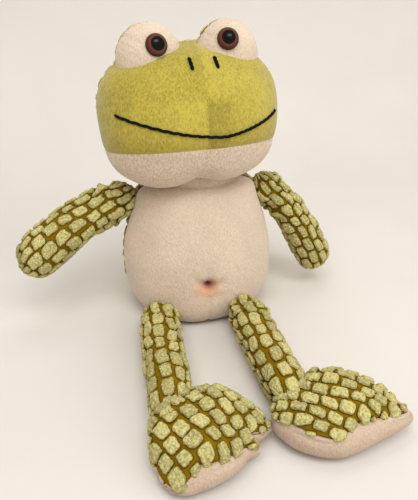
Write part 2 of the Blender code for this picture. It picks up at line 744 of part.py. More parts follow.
def build_foot(name, direction, foot_turn, hip):
    foot = new_frame(name, direction * LEG_LENGTH, Euler((-FOOT_PITCH, 0, foot_turn)), hip)
    socket = new_cutter(f"{name}_ankle_recess", ball(ANKLE_BALL_RADIUS + CLEARANCE, CUTTER_SEGMENTS), foot)
    mouth = new_frame(f"{name}_mouth", direction * (LEG_LENGTH - ANKLE_ROOM / 2), aimed(direction), hip)
    flare = new_cutter(f"{name}_leg_room", ankle_flare(), mouth)
    seam = Vector((0, 0, FOOT_RISE))
    top = new_panel(f"{name}_top_panel", foot_form(), foot, "patched", ((seam, (0, 0, 1)),))
    sole = new_panel(f"{name}_sole_panel", foot_form(), foot, "cream", ((seam, (0, 0, -1)),))
    filling = new_part(f"{name}_filling", foot_form(SKIN + FILL_GAP), foot, MATERIALS["fibre"])
    for part in (top, sole, filling):
        combine(part, socket)
        combine(part, flare)


def centre_on_base(root):
    """Moves the whole frog so that the middle of its box's base is at the origin."""
    bpy.context.view_layer.update()
    depsgraph = bpy.context.evaluated_depsgraph_get()
    corners = []
    for part in COLLECTIONS["parts"].objects:
        if part.type != "EMPTY":
            seen = part.evaluated_get(depsgraph)
            corners += [seen.matrix_world @ vert.co for vert in seen.to_mesh().vertices]
            seen.to_mesh_clear()
    low = Vector([min(corner[axis] for corner in corners) for axis in range(3)])
    high = Vector([max(corner[axis] for corner in corners) for axis in range(3)])
    root.location = (-(low.x + high.x) / 2, -(low.y + high.y) / 2, -low.z)
    bpy.context.view_layer.update()


def build():
    clear_scene()
    COLLECTIONS["parts"] = new_collection("plush_frog")
    COLLECTIONS["cutters"] = new_collection("cutters")
    for name, (colour, roughness) in FINISHES.items():
        MATERIALS[name] = new_material(name, colour, roughness)

    root = new_frame("frog", (0, 0, 0), (0, 0, 0), None)
    torso = build_torso(root)
    neck = new_frame("neck", (0, NECK_Y, NECK_HEIGHT), (0, 0, 0), root)
    gusset("neck_gusset", NECK_BALL_RADIUS, NECK_GUSSET_RADIUS, (0, 0, 1), neck)
    build_head(new_frame("head", (0, 0, 0), (0, HEAD_ROLLED, HEAD_TURNED), neck))
    build_arm("right", RIGHT_ARM_DROP, RIGHT_ARM_FORWARD, RIGHT_ARM_TWIST, root, torso)
    build_arm("left", LEFT_ARM_DROP, LEFT_ARM_FORWARD, LEFT_ARM_TWIST, root, torso)
    build_leg("right", RIGHT_HIP_OUT, RIGHT_LEG_SPREAD, RIGHT_FOOT_TURN, root, torso)
    build_leg("left", LEFT_HIP_OUT, LEFT_LEG_SPREAD, LEFT_FOOT_TURN, root, torso)
    centre_on_base(root)


build()
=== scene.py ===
import json
import math

import bmesh
import bpy
from bpy.props import FloatProperty, FloatVectorProperty, IntProperty, PointerProperty
from mathutils import Euler, Matrix, Vector, kdtree, noise
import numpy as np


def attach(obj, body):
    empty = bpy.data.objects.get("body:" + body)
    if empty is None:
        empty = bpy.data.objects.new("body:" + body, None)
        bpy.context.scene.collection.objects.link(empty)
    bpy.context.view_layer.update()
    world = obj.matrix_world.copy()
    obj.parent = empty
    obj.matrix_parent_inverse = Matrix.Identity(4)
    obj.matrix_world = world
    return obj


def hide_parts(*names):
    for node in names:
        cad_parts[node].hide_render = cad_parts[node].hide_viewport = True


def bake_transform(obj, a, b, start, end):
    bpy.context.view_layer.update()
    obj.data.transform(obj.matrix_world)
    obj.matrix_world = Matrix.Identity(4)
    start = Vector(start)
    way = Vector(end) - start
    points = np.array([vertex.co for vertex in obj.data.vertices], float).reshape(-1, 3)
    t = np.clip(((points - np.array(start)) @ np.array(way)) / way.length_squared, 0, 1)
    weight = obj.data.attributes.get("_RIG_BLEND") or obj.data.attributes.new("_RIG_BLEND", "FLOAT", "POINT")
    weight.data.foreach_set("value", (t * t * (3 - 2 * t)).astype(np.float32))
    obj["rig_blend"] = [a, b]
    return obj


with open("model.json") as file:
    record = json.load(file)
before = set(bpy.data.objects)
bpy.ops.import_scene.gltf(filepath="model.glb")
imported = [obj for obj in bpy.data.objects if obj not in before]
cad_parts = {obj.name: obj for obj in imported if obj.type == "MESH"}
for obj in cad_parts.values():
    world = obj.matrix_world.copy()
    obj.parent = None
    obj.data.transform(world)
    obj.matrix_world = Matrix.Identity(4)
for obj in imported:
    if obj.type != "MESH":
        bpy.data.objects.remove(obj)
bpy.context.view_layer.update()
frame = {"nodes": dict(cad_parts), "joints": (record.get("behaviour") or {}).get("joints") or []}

bl_info = {
    "name": "Plush frog",
    "version": (1, 0, 0),
    "blender": (4, 5, 0),
    "location": "3D View > Sidebar > Frog",
    "description": "Dresses a sitting plush frog in velour, short plush and tufted cloth",
    "category": "Object",
}

SIDES = {"right": -1, "left": 1}
FRONT, BACK = Vector((0, -1, 0)), Vector((0, 1, 0))
UP, DOWN = Vector((0, 0, 1)), Vector((0, 0, -1))

# Where the frog's own frame and its joints are
NECK_RISE = Vector((0, 0.003, 0.0945))
HEAD_TURN = Euler((0, math.radians(-1), math.radians(4)))


def joint_place(name):
    return Vector(next(joint["pos_m"] for joint in frame["joints"] if joint["name"] == name))


NECK = joint_place("neck_nod")
ROOT = Matrix.Translation(NECK - NECK_RISE)
HEAD = Matrix.Translation(NECK) @ HEAD_TURN.to_matrix().to_4x4()

# Sizes of the forms under the cloth, in metres
TORSO_WIDTH = 0.1345
TORSO_DEPTH = 0.102
SHOULDER_HEIGHT = 0.1185
NECK_BALL = 0.040
NECK_BALL_ANGLE = math.radians(38)
SIDE_SEAM_Y = 0.004
SEAT_SEAM_HEIGHT = 0.009
SEAT_HIDDEN = 0.0035
TUMMY_EDGE = 0.0012
NAVEL_HEIGHT = 0.041

HEAD_WIDTH = 0.142
HEAD_DEPTH = 0.103
HEAD_HEIGHT = 0.106
HEAD_BASE = 0.0275
HEAD_SHIFT = 0.006
HEAD_SQUARENESS = 2.25
BACK_SEAM_Y = 0.005
CHIN_SEAM_HEIGHT = 0.0563
CHIN_SEAM_TILT = math.radians(9)
MIDDLE_SEAM_LEAN = math.radians(4)

BUMP_SPACING = 0.0596
BUMP_HALVES = Vector((0.0245, 0.020, 0.026))
BUMP_RISE = 0.123
BUMP_Y = -0.011
EYE_SPACING = 0.053
EYE_TILTS = {"right": math.radians(28), "left": math.radians(32)}
EYE_RADIUS = 0.008
EYE_DOME = 0.005
EYE_RIM = 0.0006
EYE_SHANK = [(0, -0.012), (0.0022, -0.012), (0.0025, -0.0115), (0.0025, -0.0006)]

MOUTH_MARGIN = 0.010
MOUTH_HEIGHT = 0.0750
MOUTH_SHIFT = 0.013
MOUTH_RISES = {-1: 0.0155, 1: 0.0100}
MOUTH_CURL = 1.5
NOSTRIL_SPACING = 0.019
NOSTRIL_SHIFT = 0.005
NOSTRIL_DROP = 0.0112
NOSTRIL_LENGTH = 0.0075
NOSTRIL_LEAN = 0.0006

ARM_LENGTH = 0.100
ARM_HALVES = (0.01475, 0.0185)
ARM_BOW = 0.006
ARM_BALL = 0.0135
ARM_AIMS = {"right": (27, 18, 0), "left": (57, 5, 70)}
LEG_LENGTH = 0.105
LEG_HALVES = (0.01525, 0.01425)
HIP_BALL = 0.014
ANKLE_BALL = 0.0135
LEG_SPREADS = {"right": 2.5, "left": 2.0}
FOOT_REACH = 0.027
FOOT_TOPS = {"right": 0.0322, "left": 0.0295}
FOOT_TURNS = {"right": 26, "left": 55}

# Stations of the forms, as shares: height, half width, half depth, lean of the middle
torso_shares = (
    (0.000, 0.000, 0.000, -0.050),
    (0.001, 0.490, 0.560, -0.050),
    (0.046, 0.790, 0.840, -0.050),
    (0.155, 0.950, 1.000, -0.040),
    (0.323, 1.000, 1.000, -0.030),
    (0.491, 1.000, 0.930, -0.020),
    (0.676, 0.914, 0.830, 0.000),
    (0.844, 0.824, 0.730, 0.020),
    (0.940, 0.750, 0.655, 0.028),
    (0.985, 0.610, 0.570, 0.030),
    (1.000, 0.490, 0.510, 0.030),
)
head_shares = (
    (0.000, 0.000, 0.000, -0.060),
    (0.029, 0.580, 0.460, -0.060),
    (0.086, 0.820, 0.680, -0.063),
    (0.181, 0.935, 0.840, -0.078),
    (0.314, 0.986, 0.950, -0.087),
    (0.467, 1.000, 1.000, -0.107),
    (0.638, 0.993, 0.920, -0.078),
    (0.771, 0.930, 0.806, -0.068),
    (0.876, 0.790, 0.640, -0.068),
    (0.952, 0.563, 0.447, -0.068),
    (1.000, 0.000, 0.000, -0.068),
)
# Stations of the limbs, as shares: place along the limb, half width, half thickness
arm_shares = (
    (0.12, 0.79, 0.92),
    (0.28, 0.92, 0.96),
    (0.52, 1.00, 0.98),
    (0.78, 1.03, 1.00),
    (0.93, 0.80, 0.78),
)
leg_shares = (
    (0.18, 0.97, 0.99),
    (0.50, 1.00, 1.00),
    (0.82, 0.96, 0.98),
)
BALL_RINGS = 14

# The stuffing: how full each part is, the wave and depth of its swell, and its pressure as the cloth settles
SWELLS = {
    "torso": (0.030, 0.0014),
    "side": (0.030, 0.0010),
    "head": (0.034, 0.0016),
    "bump": (0.018, 0.0010),
    "limb": (0.020, 0.0016),
    "pucker": (0.0065, 0.0040),
    "foot": (0.022, 0.0018),
}
TORSO_PRESSURE = 1300
LIMB_PRESSURE = 8000
SETTLING_FRAMES = 20
SETTLING_CAP = 0.0035
PIN_REACH = 0.007
PIN_HOLD = 1.3

# The tufts: how their rows sway, in shares of a row and in metres, and how square each tuft is
COLUMN_SWAY = 0.24
ROW_SWAY = 0.28
SWAY_WAVE = 0.021
ROW_SWAY_PLACE = Vector((11.3, 5.7, 2.9))
TUFT_SQUARENESS = 4.5
CHANCE_FACTORS = (127.1, 311.7, 74.7, 19.19)
CHANCE_SPREAD = 43758.5453


def bell(distance, width):
    """One at the middle, falling off to nothing beyond about twice the width."""
    return math.exp(-((distance / width) ** 2))


def clamped(value):
    return max(0.0, min(1.0, value))


def eased(value, low, high):
    """From nothing at `low` to one at `high`, level at both ends."""
    share = clamped((value - low) / (high - low))
    return share * share * (3 - 2 * share)


def chance(*numbers):
    """A fixed number between nothing and one for a cell of the tufted cloth."""
    mixed = math.sin(sum(number * factor for number, factor in zip(numbers, CHANCE_FACTORS)))
    return mixed * CHANCE_SPREAD - math.floor(mixed * CHANCE_SPREAD)


def arc(radius, start, end, count):
    angles = [start + (end - start) * step / count for step in range(count + 1)]
    return [(radius * math.sin(angle), radius * math.cos(angle)) for angle in angles]


def walk(rings):
    """How far along the form each ring lies."""
    walked = [0.0]
    for a, b in zip(rings, rings[1:]):
        walked.append(walked[-1] + math.hypot(b[0] - a[0], b[1] - a[1]))
    return walked


def smooth_rings(stations, count):
    """`count` + 1 rings along a smooth curve through the stations: height, half width, half depth, shift."""
    points = [Vector(station) for station in stations]

    def beyond(end, inner):
        if end[1] == 0:
            return Vector((inner[0], -inner[1], -inner[2], inner[3]))
        return 2 * end - inner

    padded = [beyond(points[0], points[1]), *points, beyond(points[-1], points[-2])]
    fine = [points[0]]
    for a, b, c, d in zip(padded, padded[1:], padded[2:], padded[3:]):
        for step in range(1, 25):
            t = step / 24
            fine.append(0.5 * ((2 * b) + (c - a) * t + (2 * a - 5 * b + 4 * c - d) * t**2
                               + (3 * b - a - 3 * c + d) * t**3))
    walked = walk(fine)
    rings = []
    place = 0
    for step in range(count + 1):
        goal = walked[-1] * step / count
        while place < len(walked) - 2 and walked[place + 1] < goal:
            place += 1
        part_way = (goal - walked[place]) / (walked[place + 1] - walked[place])
        rings.append(fine[place].lerp(fine[place + 1], min(part_way, 1)))
    return rings


def ring_at(rings, height):
    for low, high in zip(rings, rings[1:]):
        if low[0] <= height <= high[0]:
            return low.lerp(high, (height - low[0]) / (high[0] - low[0]))
    return rings[-1]


def scaled(shares, base, height, width, depth):
    return [
        (base + high * height, wide * width / 2, deep * depth / 2, lean * depth)
        for high, wide, deep, lean in shares
    ]


def torso_rings(count):
    stations = scaled(torso_shares, 0.0, SHOULDER_HEIGHT, TORSO_WIDTH, TORSO_DEPTH)
    dome = [
        Vector((NECK_RISE.z + height, radius, radius, NECK_RISE.y))
        for radius, height in arc(NECK_BALL, NECK_BALL_ANGLE, 0, BALL_RINGS)
    ]
    return smooth_rings([*stations, tuple(dome[0])], count)[:-1] + dome


def head_rings(count):
    return smooth_rings(scaled(head_shares, HEAD_BASE, HEAD_HEIGHT, HEAD_WIDTH, HEAD_DEPTH), count)


def limb_rings(count, ball, halves, length, shares, end, bow):
    """Rings from the root ball's pole to the limb's end, a ball, or a tip if `end` is nothing."""
    root = [Vector((-height, radius, radius, 0)) for radius, height in arc(ball, 0, math.pi / 2, BALL_RINGS)]
    stations = [tuple(root[-1])]
    for place, wide, thick in shares:
        bowed = bow * 4 * place * (1 - place)
        stations.append((place * length, wide * halves[0], thick * halves[1], bowed))
    stations.append((length, end, end, 0))
    rings = root[:-1] + smooth_rings(stations, count)
    if end:
        tip = arc(end, math.pi / 2, 0, BALL_RINGS)[1:]
        rings += [Vector((length + height, radius, radius, 0)) for radius, height in tip]
    return rings


def layers(bm, *names):
    """New layers of numbers on a form's points."""
    return [bm.verts.layers.float.new(name) for name in names]


def form(rings, segments, squareness=2.0, twist=0.0):
    """A closed form shaped from a sphere. Each point keeps how far round and how far along it lies."""
    bm = bmesh.new()
    count = len(rings) - 1
    bmesh.ops.create_uvsphere(bm, u_segments=segments, v_segments=count, radius=1)
    around, along = layers(bm, "around", "along")
    power = 2 / squareness
    turn = Matrix.Rotation(twist, 2)
    walked = walk(rings)
    for vert in bm.verts:
        number = round(math.acos(-max(-1, min(1, vert.co.z))) / math.pi * count)
        ring = rings[number]
        across, deep = vert.co.xy.normalized() if vert.co.xy.length > 1e-5 else (0.0, 0.0)
        vert[around] = math.atan2(deep, across) / math.tau % 1
        vert[along] = walked[number]
        spot = turn @ Vector((
            ring[1] * math.copysign(abs(across) ** power, across),
            ring[2] * math.copysign(abs(deep) ** power, deep),
        ))
        vert.co = (spot.x, spot.y + ring[3], ring[0])
    return bm


def shift(bm, move):
    """Moves every point by what `move` gives for it, once it has been asked for them all."""
    bm.normal_update()
    moves = [(vert, move(vert)) for vert in bm.verts]
    for vert, offset in moves:
        vert.co += offset


def swell(bm, outward):
    """Moves every point along its normal by what `outward` gives for it."""
    shift(bm, lambda vert: vert.normal * outward(vert))


def soft(place, part):
    """The uneven swell of a part's stuffing under its cloth."""
    wave, depth = SWELLS[part]
    return depth * noise.noise(place / wave)


def linked(name, data):
    made = bpy.data.objects.new(name, data)
    bpy.context.scene.collection.objects.link(made)
    return made


def as_object(name, bm):
    mesh = bpy.data.meshes.new(name)
    bm.to_mesh(mesh)
    return linked(name, mesh)


def evaluated(made):
    return made.evaluated_get(bpy.context.evaluated_depsgraph_get())


def settled(coarse, sewn, pressure):
    """Lets the filling press a coarse form outward, as cloth that is held at its seams."""
    scene = bpy.context.scene
    coarse.normal_update()
    pressed = as_object("settling", coarse)
    mesh = pressed.data
    held = pressed.vertex_groups.new(name="sewn")
    for vert in coarse.verts:
        held.add([vert.index], clamped(PIN_HOLD - sewn(vert) / PIN_REACH), "REPLACE")
    cloth = pressed.modifiers.new("cloth", "CLOTH")
    cloth.settings.vertex_group_mass = "sewn"
    cloth.settings.use_pressure = True
    cloth.settings.uniform_pressure_force = pressure
    cloth.settings.effector_weights.gravity = 0
    for number in range(1, SETTLING_FRAMES + 1):
        scene.frame_set(number)
    tree = kdtree.KDTree(len(coarse.verts))
    moves = []
    usual = 0.0
    for vert, after in zip(coarse.verts, evaluated(pressed).to_mesh().vertices):
        move = after.co - vert.co
        moves.append(move * min(1.0, SETTLING_CAP / max(move.length, 1e-9)))
        usual += moves[-1].dot(vert.normal) / len(coarse.verts)
        tree.insert(vert.co, vert.index)
    tree.balance()
    bpy.data.objects.remove(pressed)
    bpy.data.meshes.remove(mesh)
    scene.frame_set(1)
    coarse.free()
    return tree, moves, usual


def follow(bm, settling):
    """Moves a dense form by what the settled cloth moved near each point, less the usual move."""
    if not settling:
        return
    tree, moves, usual = settling

    def carried(vert):
        near = tree.find_n(vert.co, 4)
        weights = [1 / (distance + 0.001) ** 2 for _, _, distance in near]
        move = sum((moves[index] * weight for (_, index, _), weight in zip(near, weights)), Vector())
        return move / sum(weights) - vert.normal * usual

    shift(bm, carried)


def tufts(bm, spot, sewn, low=0.0, base=0.0008):
    """Raises the pile's tufts on the form. `spot` gives a point's place in rows and columns of tufts, how
    many columns go round, or nothing, and a seed. `sewn` gives how far off the nearest seam is, and `low` is
    the share by which the tufts beside a seam are lower."""
    height = bpy.context.scene.frog_sizes.tuft_height
    tuft, shade, shadow = layers(bm, "tuft", "shade", "shadow")
    cells = {}

    def raised(vert):
        column, row, columns, seed = spot(vert)
        column += COLUMN_SWAY * noise.noise(vert.co / SWAY_WAVE)
        row += ROW_SWAY * noise.noise(vert.co / SWAY_WAVE + ROW_SWAY_PLACE)
        line = math.floor(row)
        column += 0.5 * (line % 2) + 0.30 * chance(line, seed)
        cell = math.floor(column)
        tag = (cell % columns if columns else cell, line)
        if tag not in cells:
            cells[tag] = [chance(*tag, seed + number) for number in range(7)]
        aside, above, tilt, wide, tall, tint, tall_pile = cells[tag]
        across = 2 * (column - cell) - 1 + 0.16 * (aside - 0.5)
        up = 2 * (row - line) - 1 + 0.16 * (above - 0.5) + across * 0.34 * (tilt - 0.5)
        across = abs(across / (0.81 + 0.11 * wide)) ** TUFT_SQUARENESS
        up = abs(up / (0.72 + 0.16 * tall)) ** TUFT_SQUARENESS
        reach = (across + up) ** (1 / TUFT_SQUARENESS)
        reach += 0.12 * noise.noise(vert.co / 0.0055) + 0.10 * noise.noise(vert.co / 0.0021)
        edge = clamped((1 - reach) / 0.24)
        off = sewn(vert)
        level = math.sqrt(1 - (1 - edge) ** 2) * eased(off, 0.0002, 0.0013)
        lift = height * (0.90 + 0.2 * tall_pile) * (1 - low * (1 - eased(off, 0.002, 0.014)))
        vert[tuft] = level
        # Painted shadow: how dark the ground is painted beside each tuft and along the seams.
        vert[shadow] = max(1 - eased(reach, 0.96, 1.13), 1 - eased(off, 0.0003, 0.0011))
        vert[shade] = tint
        rough = 1 + 0.16 * noise.noise(vert.co / 0.0019)
        return level * lift * rough - base

    swell(bm, raised)


def level_rows(rings, seed):
    """Places in level rows, each with a whole number of tufts round the form."""
    sizes = bpy.context.scene.frog_sizes
    walked = walk(rings)

    def columns_at(distance):
        ring = next((ring for ring, far in zip(rings, walked[1:]) if far >= distance), rings[-1])
        girth = math.tau * math.sqrt((ring[1] ** 2 + ring[2] ** 2) / 2)
        return max(4, round(girth / sizes.tuft_length))

    rows = int(walked[-1] / sizes.tuft_width) + 2
    columns = [columns_at((row + 0.5) * sizes.tuft_width) for row in range(rows)]

    def spot(around, along):
        row = along / sizes.tuft_width
        count = columns[min(int(row), rows - 1)]
        return around * count, row, count, seed

    return spot


def long_rows(pitch_along, rows, seed):
    """Places in rows that run along a limb."""
    return lambda around, along: (along / pitch_along, around * rows, 0, seed)


def tufted(bm, rows, seams, low=0.0):
    """Raises tufts in rows on a form that has seams."""
    around = bm.verts.layers.float["around"]
    along = bm.verts.layers.float["along"]

    def sewn(vert):
        return min(abs((vert.co - point).dot(normal)) for point, normal in seams)

    tufts(bm, lambda vert: rows(vert[around], vert[along]), sewn, low)


def tuck(bm, seams, share, width=0.0020):
    """Draws the cloth in along its seams, by a share of their depth."""
    depth = bpy.context.scene.frog_sizes.seam_depth * share

    def drawn(vert):
        return sum(bell((vert.co - point).dot(normal), width) for point, normal in seams)

    swell(bm, lambda vert: -depth * min(drawn(vert), 1.3))


def cut(bm, seams):
    """Keeps what lies in front of each seam."""
    for point, normal in seams:
        everything = [*bm.verts, *bm.edges, *bm.faces]
        bmesh.ops.bisect_plane(
            bm, geom=everything, dist=1e-6, plane_co=point, plane_no=normal, clear_inner=True
        )
    return bm


def turned(profile, steps):
    """A shape turned about its axis from a profile of radii and heights, with its faces outward."""
    bm = bmesh.new()
    verts = [bm.verts.new((radius, 0, height)) for radius, height in profile]
    edges = [bm.edges.new(pair) for pair in zip(verts, verts[1:])]
    bmesh.ops.spin(bm, geom=[*verts, *edges], cent=(0, 0, 0), axis=(0, 0, 1), dvec=(0, 0, 0),
                   angle=math.tau, steps=steps, use_merge=True)
    bmesh.ops.remove_doubles(bm, verts=bm.verts, dist=1e-6)
    bmesh.ops.recalc_face_normals(bm, faces=bm.faces)
    if sum(face.normal.dot(face.calc_center_median()) for face in bm.faces) < 0:
        bmesh.ops.reverse_faces(bm, faces=bm.faces)
    return bm


def aimed(place, aim):
    """Where a form goes whose height runs along `aim`."""
    return Matrix.Translation(place) @ aim.to_track_quat("Z", "Y").to_matrix().to_4x4()


def above_floor(verts):
    for vert in verts:
        vert.co.z = max(vert.co.z, 0.0)


def piece(name, bm, place, finish, body, nodes, cloth=None, blend=None):
    """Turns a form into a finished piece: its place, cloth, filling, body, finish and nodes."""
    bmesh.ops.remove_doubles(bm, verts=bm.verts, dist=5e-6)
    bmesh.ops.transform(bm, matrix=place, verts=bm.verts)
    above_floor(bm.verts)
    for face in bm.faces:
        face.smooth = True
    for edge in bm.edges:
        edge.smooth = not edge.is_boundary
    made = as_object(name, bm)
    bm.free()
    thickness = bpy.context.scene.frog_sizes.cloth if cloth is None else cloth
    if thickness:
        wall = made.modifiers.new("cloth", "SOLIDIFY")
        wall.thickness = thickness
        wall.offset = -1
        bpy.context.view_layer.update()
        made.data = bpy.data.meshes.new_from_object(evaluated(made))
        made.modifiers.clear()
        above_floor(made.data.vertices)
    made.data.materials.append(finished(finish))
    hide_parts(*nodes)
    if blend:
        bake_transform(made, *blend[:2], start=blend[2], end=blend[3])
    else:
        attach(made, body)


class Shade:
    """A socket that takes part in sums."""

    def __init__(self, finish, socket):
        self.finish = finish
        self.socket = socket

    def sum(self, operation, first, second):
        return self.finish.node("ShaderNodeMath", {"operation": operation}, {0: first, 1: second})

    def __add__(self, other):
        return self.sum("ADD", self, other)

    def __sub__(self, other):
        return self.sum("SUBTRACT", self, other)

    def __rsub__(self, other):
        return self.sum("SUBTRACT", other, self)

    def __mul__(self, other):
        return self.sum("MULTIPLY", self, other)


class Finish:
    """A material and the few ways in which its nodes are made."""

    def __init__(self, name):
        self.material = bpy.data.materials.new(name)
        self.material.use_nodes = True
        self.tree = self.material.node_tree
        self.shader = self.tree.nodes["Principled BSDF"]

    def feed(self, socket, value):
        if isinstance(value, Shade):
            self.tree.links.new(value.socket, socket)
        else:
            socket.default_value = value

    def node(self, kind, settings, sockets, output=0):
        made = self.tree.nodes.new(kind)
        for name, value in settings.items():
            setattr(made, name, value)
        for name, value in sockets.items():
            self.feed(made.inputs[name], value)
        return Shade(self, made.outputs[output])

    def attribute(self, name):
        return self.node("ShaderNodeAttribute", {"attribute_name": name}, {}, "Fac")

    def place(self):
        return self.node("ShaderNodeTexCoord", {}, {}, "Object")

    def noise(self, scale, detail=2.0, roughness=0.5, rise=1.0):
        """Noise, drawn out upward into strands where `rise` is less than one."""
        place = self.place()
        if rise != 1:
            stretch = {0: place, 1: (1.0, 1.0, rise)}
            place = self.node("ShaderNodeVectorMath", {"operation": "MULTIPLY"}, stretch)
        sockets = {"Vector": place, "Scale": scale, "Detail": detail, "Roughness": roughness}
        return self.node("ShaderNodeTexNoise", {}, sockets, "Fac")

    def cells(self, scale):
        sockets = {"Vector": self.place(), "Scale": scale, "Smoothness": 0.6}
        return self.node("ShaderNodeTexVoronoi", {"feature": "SMOOTH_F1"}, sockets, "Distance")

    def between(self, value, low, high, start=0.0, end=1.0):
        sockets = {0: value, 1: low, 2: high, 3: start, 4: end}
        return self.node("ShaderNodeMapRange", {"interpolation_type": "SMOOTHSTEP"}, sockets)

    def mix(self, share, first, second, blend="MIX"):
        settings = {"data_type": "RGBA", "blend_type": blend}
        return self.node("ShaderNodeMix", settings, {0: share, 6: first, 7: second}, 2)

    def tones(self, share, colour, first, second):
        """Between two tones of one colour."""
        return self.mix(share, tone(colour, first), tone(colour, second))

    def bump(self, height, distance):
        return self.node("ShaderNodeBump", {}, {"Height": height, "Distance": distance, "Strength": 1.0})

    def set(self, **values):
        for name, value in values.items():
            self.feed(self.shader.inputs[name.replace("_", " ")], value)


def tone(colour, factor):
    return (*(channel * factor for channel in colour), 1.0)


def finished(finish):
    """The material that a finish describes, made the first time that it is asked for."""
    name = finish.__name__
    if name not in bpy.data.materials:
        finish(Finish(name), bpy.context.scene.frog_colours)
    return bpy.data.materials[name]


def short_plush(finish, colours):
    """Cream plush: fine speckled pile, soft lighter and darker drifts, pink inside the navel, painted shade
    in the navel's hole and under the soles, and strands on the chin that are partly painted sheen.
    """
    pile = finish.noise(1000, 3, 0.6, 0.45)
    nap = finish.noise(210)
    drift = finish.noise(28)
    light = finish.between(pile * 0.66 + nap * 0.10 + drift * 0.24, 0.36, 0.64)
    colour = finish.tones(light, colours.cream, 0.86, 1.07)
    # Strand texture on the chin, partly painted sheen: its bright strokes stand in for light catching the
    # pile.
    strand_sheen_noise = finish.between(finish.noise(900, rise=0.35), 0.34, 0.66)
    strands_and_sheen = finish.tones(strand_sheen_noise, colours.cream, 0.76, 1.22)
    colour = finish.mix(finish.attribute("strands_and_sheen") * 0.6, colour, strands_and_sheen)
    # Painted shade: the sole is darkened and warmed, most under its middle, standing in for shade and warm
    # light bounced off the floor.
    colour = finish.mix(finish.attribute("painted_sole_shade"), colour, (0.68, 0.60, 0.54, 1.0), "MULTIPLY")
    colour = finish.mix(finish.attribute("navel"), colour, tone(colours.navel, 1.0))
    # Painted shade: the navel's hole is painted a dark tone of its pink, where the 'deep' layer says.
    colour = finish.mix(finish.attribute("deep"), colour, tone(colours.navel, 0.14))
    raised = finish.bump(pile * 0.7 + nap * 0.3, 0.0013)
    finish.set(Base_Color=colour, Roughness=0.92, Normal=raised, Sheen_Weight=0.25, Sheen_Roughness=0.5,
               Specular_IOR_Level=0.15)


def velour_pile(finish, colours):
    """Green velour: each half's pile lies its own way, and painted sheen makes one half darker and the other
    lighter along the middle seam.
    """
    pile = finish.noise(760, 3, 0.65, 0.5)
    nap = finish.noise(190, 2, 0.6, 0.7)
    drift = finish.noise(34, 3, 0.6)
    # Painted sheen: the 'pile' layer lightens or darkens each half by how light would catch its pile.
    painted_sheen = finish.attribute("pile")
    light = finish.between(pile * 0.54 + nap * 0.12 + drift * 0.18 + painted_sheen * 0.16, 0.34, 0.66)
    colour = finish.tones(light, colours.velour, 0.64, 1.20)
    raised = finish.bump(pile * 0.7 + nap * 0.3, 0.0009)
    finish.set(Base_Color=colour, Roughness=0.88, Normal=raised, Sheen_Weight=0.3, Sheen_Roughness=0.45,
               Specular_IOR_Level=0.2)


def tufted_cloth(finish, colours):
    """Looped tufts of light green on a flat olive ground, which is painted dark with shadow where a tuft
    stands over it and along the seams.
    """
    loops = 1 - finish.cells(560)
    curls = finish.noise(620, 2, 0.6)
    fuzz = finish.noise(1300, 2, 0.6)
    drift = finish.noise(45)
    tuft = finish.attribute("tuft")
    shade = finish.attribute("shade")
    mask = finish.between(tuft + curls * 0.34 - 0.17, 0.16, 0.36)
    light = finish.between(shade * 0.14 + drift * 0.10 + curls * 0.42 + loops * 0.34, 0.36, 0.66)
    side = finish.between(tuft, 0.35, 0.95, 1.0, 0.0)
    pile = finish.mix(side * 0.45, finish.tones(light, colours.tuft, 0.68, 1.22), tone(colours.ground, 1.3))
    ground = finish.tones(fuzz * 0.6 + drift * 0.4, colours.ground, 0.80, 1.20)
    # Painted shadow on the ground beside the tufts and in the seams.
    ground = finish.mix(finish.attribute("shadow") * 0.85, ground, tone(colours.ground, 0.28))
    raised = finish.bump(mask * (loops * 0.6 + curls * 0.8) + fuzz * 0.10, 0.0018)
    finish.set(Base_Color=finish.mix(mask, ground, pile), Roughness=0.93, Normal=raised,
               Specular_IOR_Level=0.05)


def domed_eye(finish, colours):
    """Glossy moulded eye: black pupil, brown ring and a dark rim, under a clear surface."""
    radial = finish.attribute("radial")
    ripple = finish.noise(420, 3, 0.6)
    ring = finish.tones(finish.between(radial + ripple * 0.10, 0.70, 0.98), colours.iris, 1.35, 0.75)
    colour = finish.mix(finish.between(radial, 0.60, 0.66), (0.003, 0.003, 0.004, 1.0), ring)
    colour = finish.mix(finish.between(radial, 0.93, 0.985), colour, tone(colours.iris, 0.25))
    rough = finish.between(ripple, 0.3, 0.8, 0.17, 0.24)
    finish.set(Base_Color=colour, Roughness=rough, Specular_IOR_Level=0.16, Coat_Weight=0.10,
               Coat_Roughness=0.04)


def embroidery_thread(finish, colours):
    twist = finish.noise(1600, 2, 0.6)
    colour = finish.tones(twist, colours.thread, 0.5, 1.8)
    finish.set(Base_Color=colour, Roughness=0.75, Normal=finish.bump(twist, 0.0004), Specular_IOR_Level=0.12)


def moulded_washer(finish, colours):
    cloudy = finish.noise(300)
    colour = finish.mix(cloudy, (0.70, 0.70, 0.67, 1.0), (0.80, 0.80, 0.78, 1.0))
    finish.set(Base_Color=colour, Roughness=finish.between(cloudy, 0.3, 0.7, 0.35, 0.55))


def length(name, description, default):
    return FloatProperty(name=name, description=description, default=default, unit="LENGTH")


def shown_colour(name, description, default):
    return FloatVectorProperty(name=name, description=description, default=default, subtype="COLOR")


class FrogSizes(bpy.types.PropertyGroup):
    """The sizes of the cloth and its details"""

    cloth: length("Cloth", "Thickness of the cloth", 0.0012)
    tuft_height: length("Tuft height", "How far the tufts stand up from their ground", 0.0028)
    tuft_length: length("Tuft length", "Pitch of the tufts along their row", 0.0146)
    tuft_width: length("Tuft width", "Pitch of the rows of tufts", 0.0106)
    seam_depth: length("Seam depth", "How far a seam draws the cloth in", 0.0018)
    navel_depth: length("Navel depth", "Depth of the navel", 0.0080)
    thread_width: length("Thread width", "Width of the embroidered lines", 0.0022)
    stitches: IntProperty(name="Stitches", description="Stitches along the mouth", default=44, min=8)


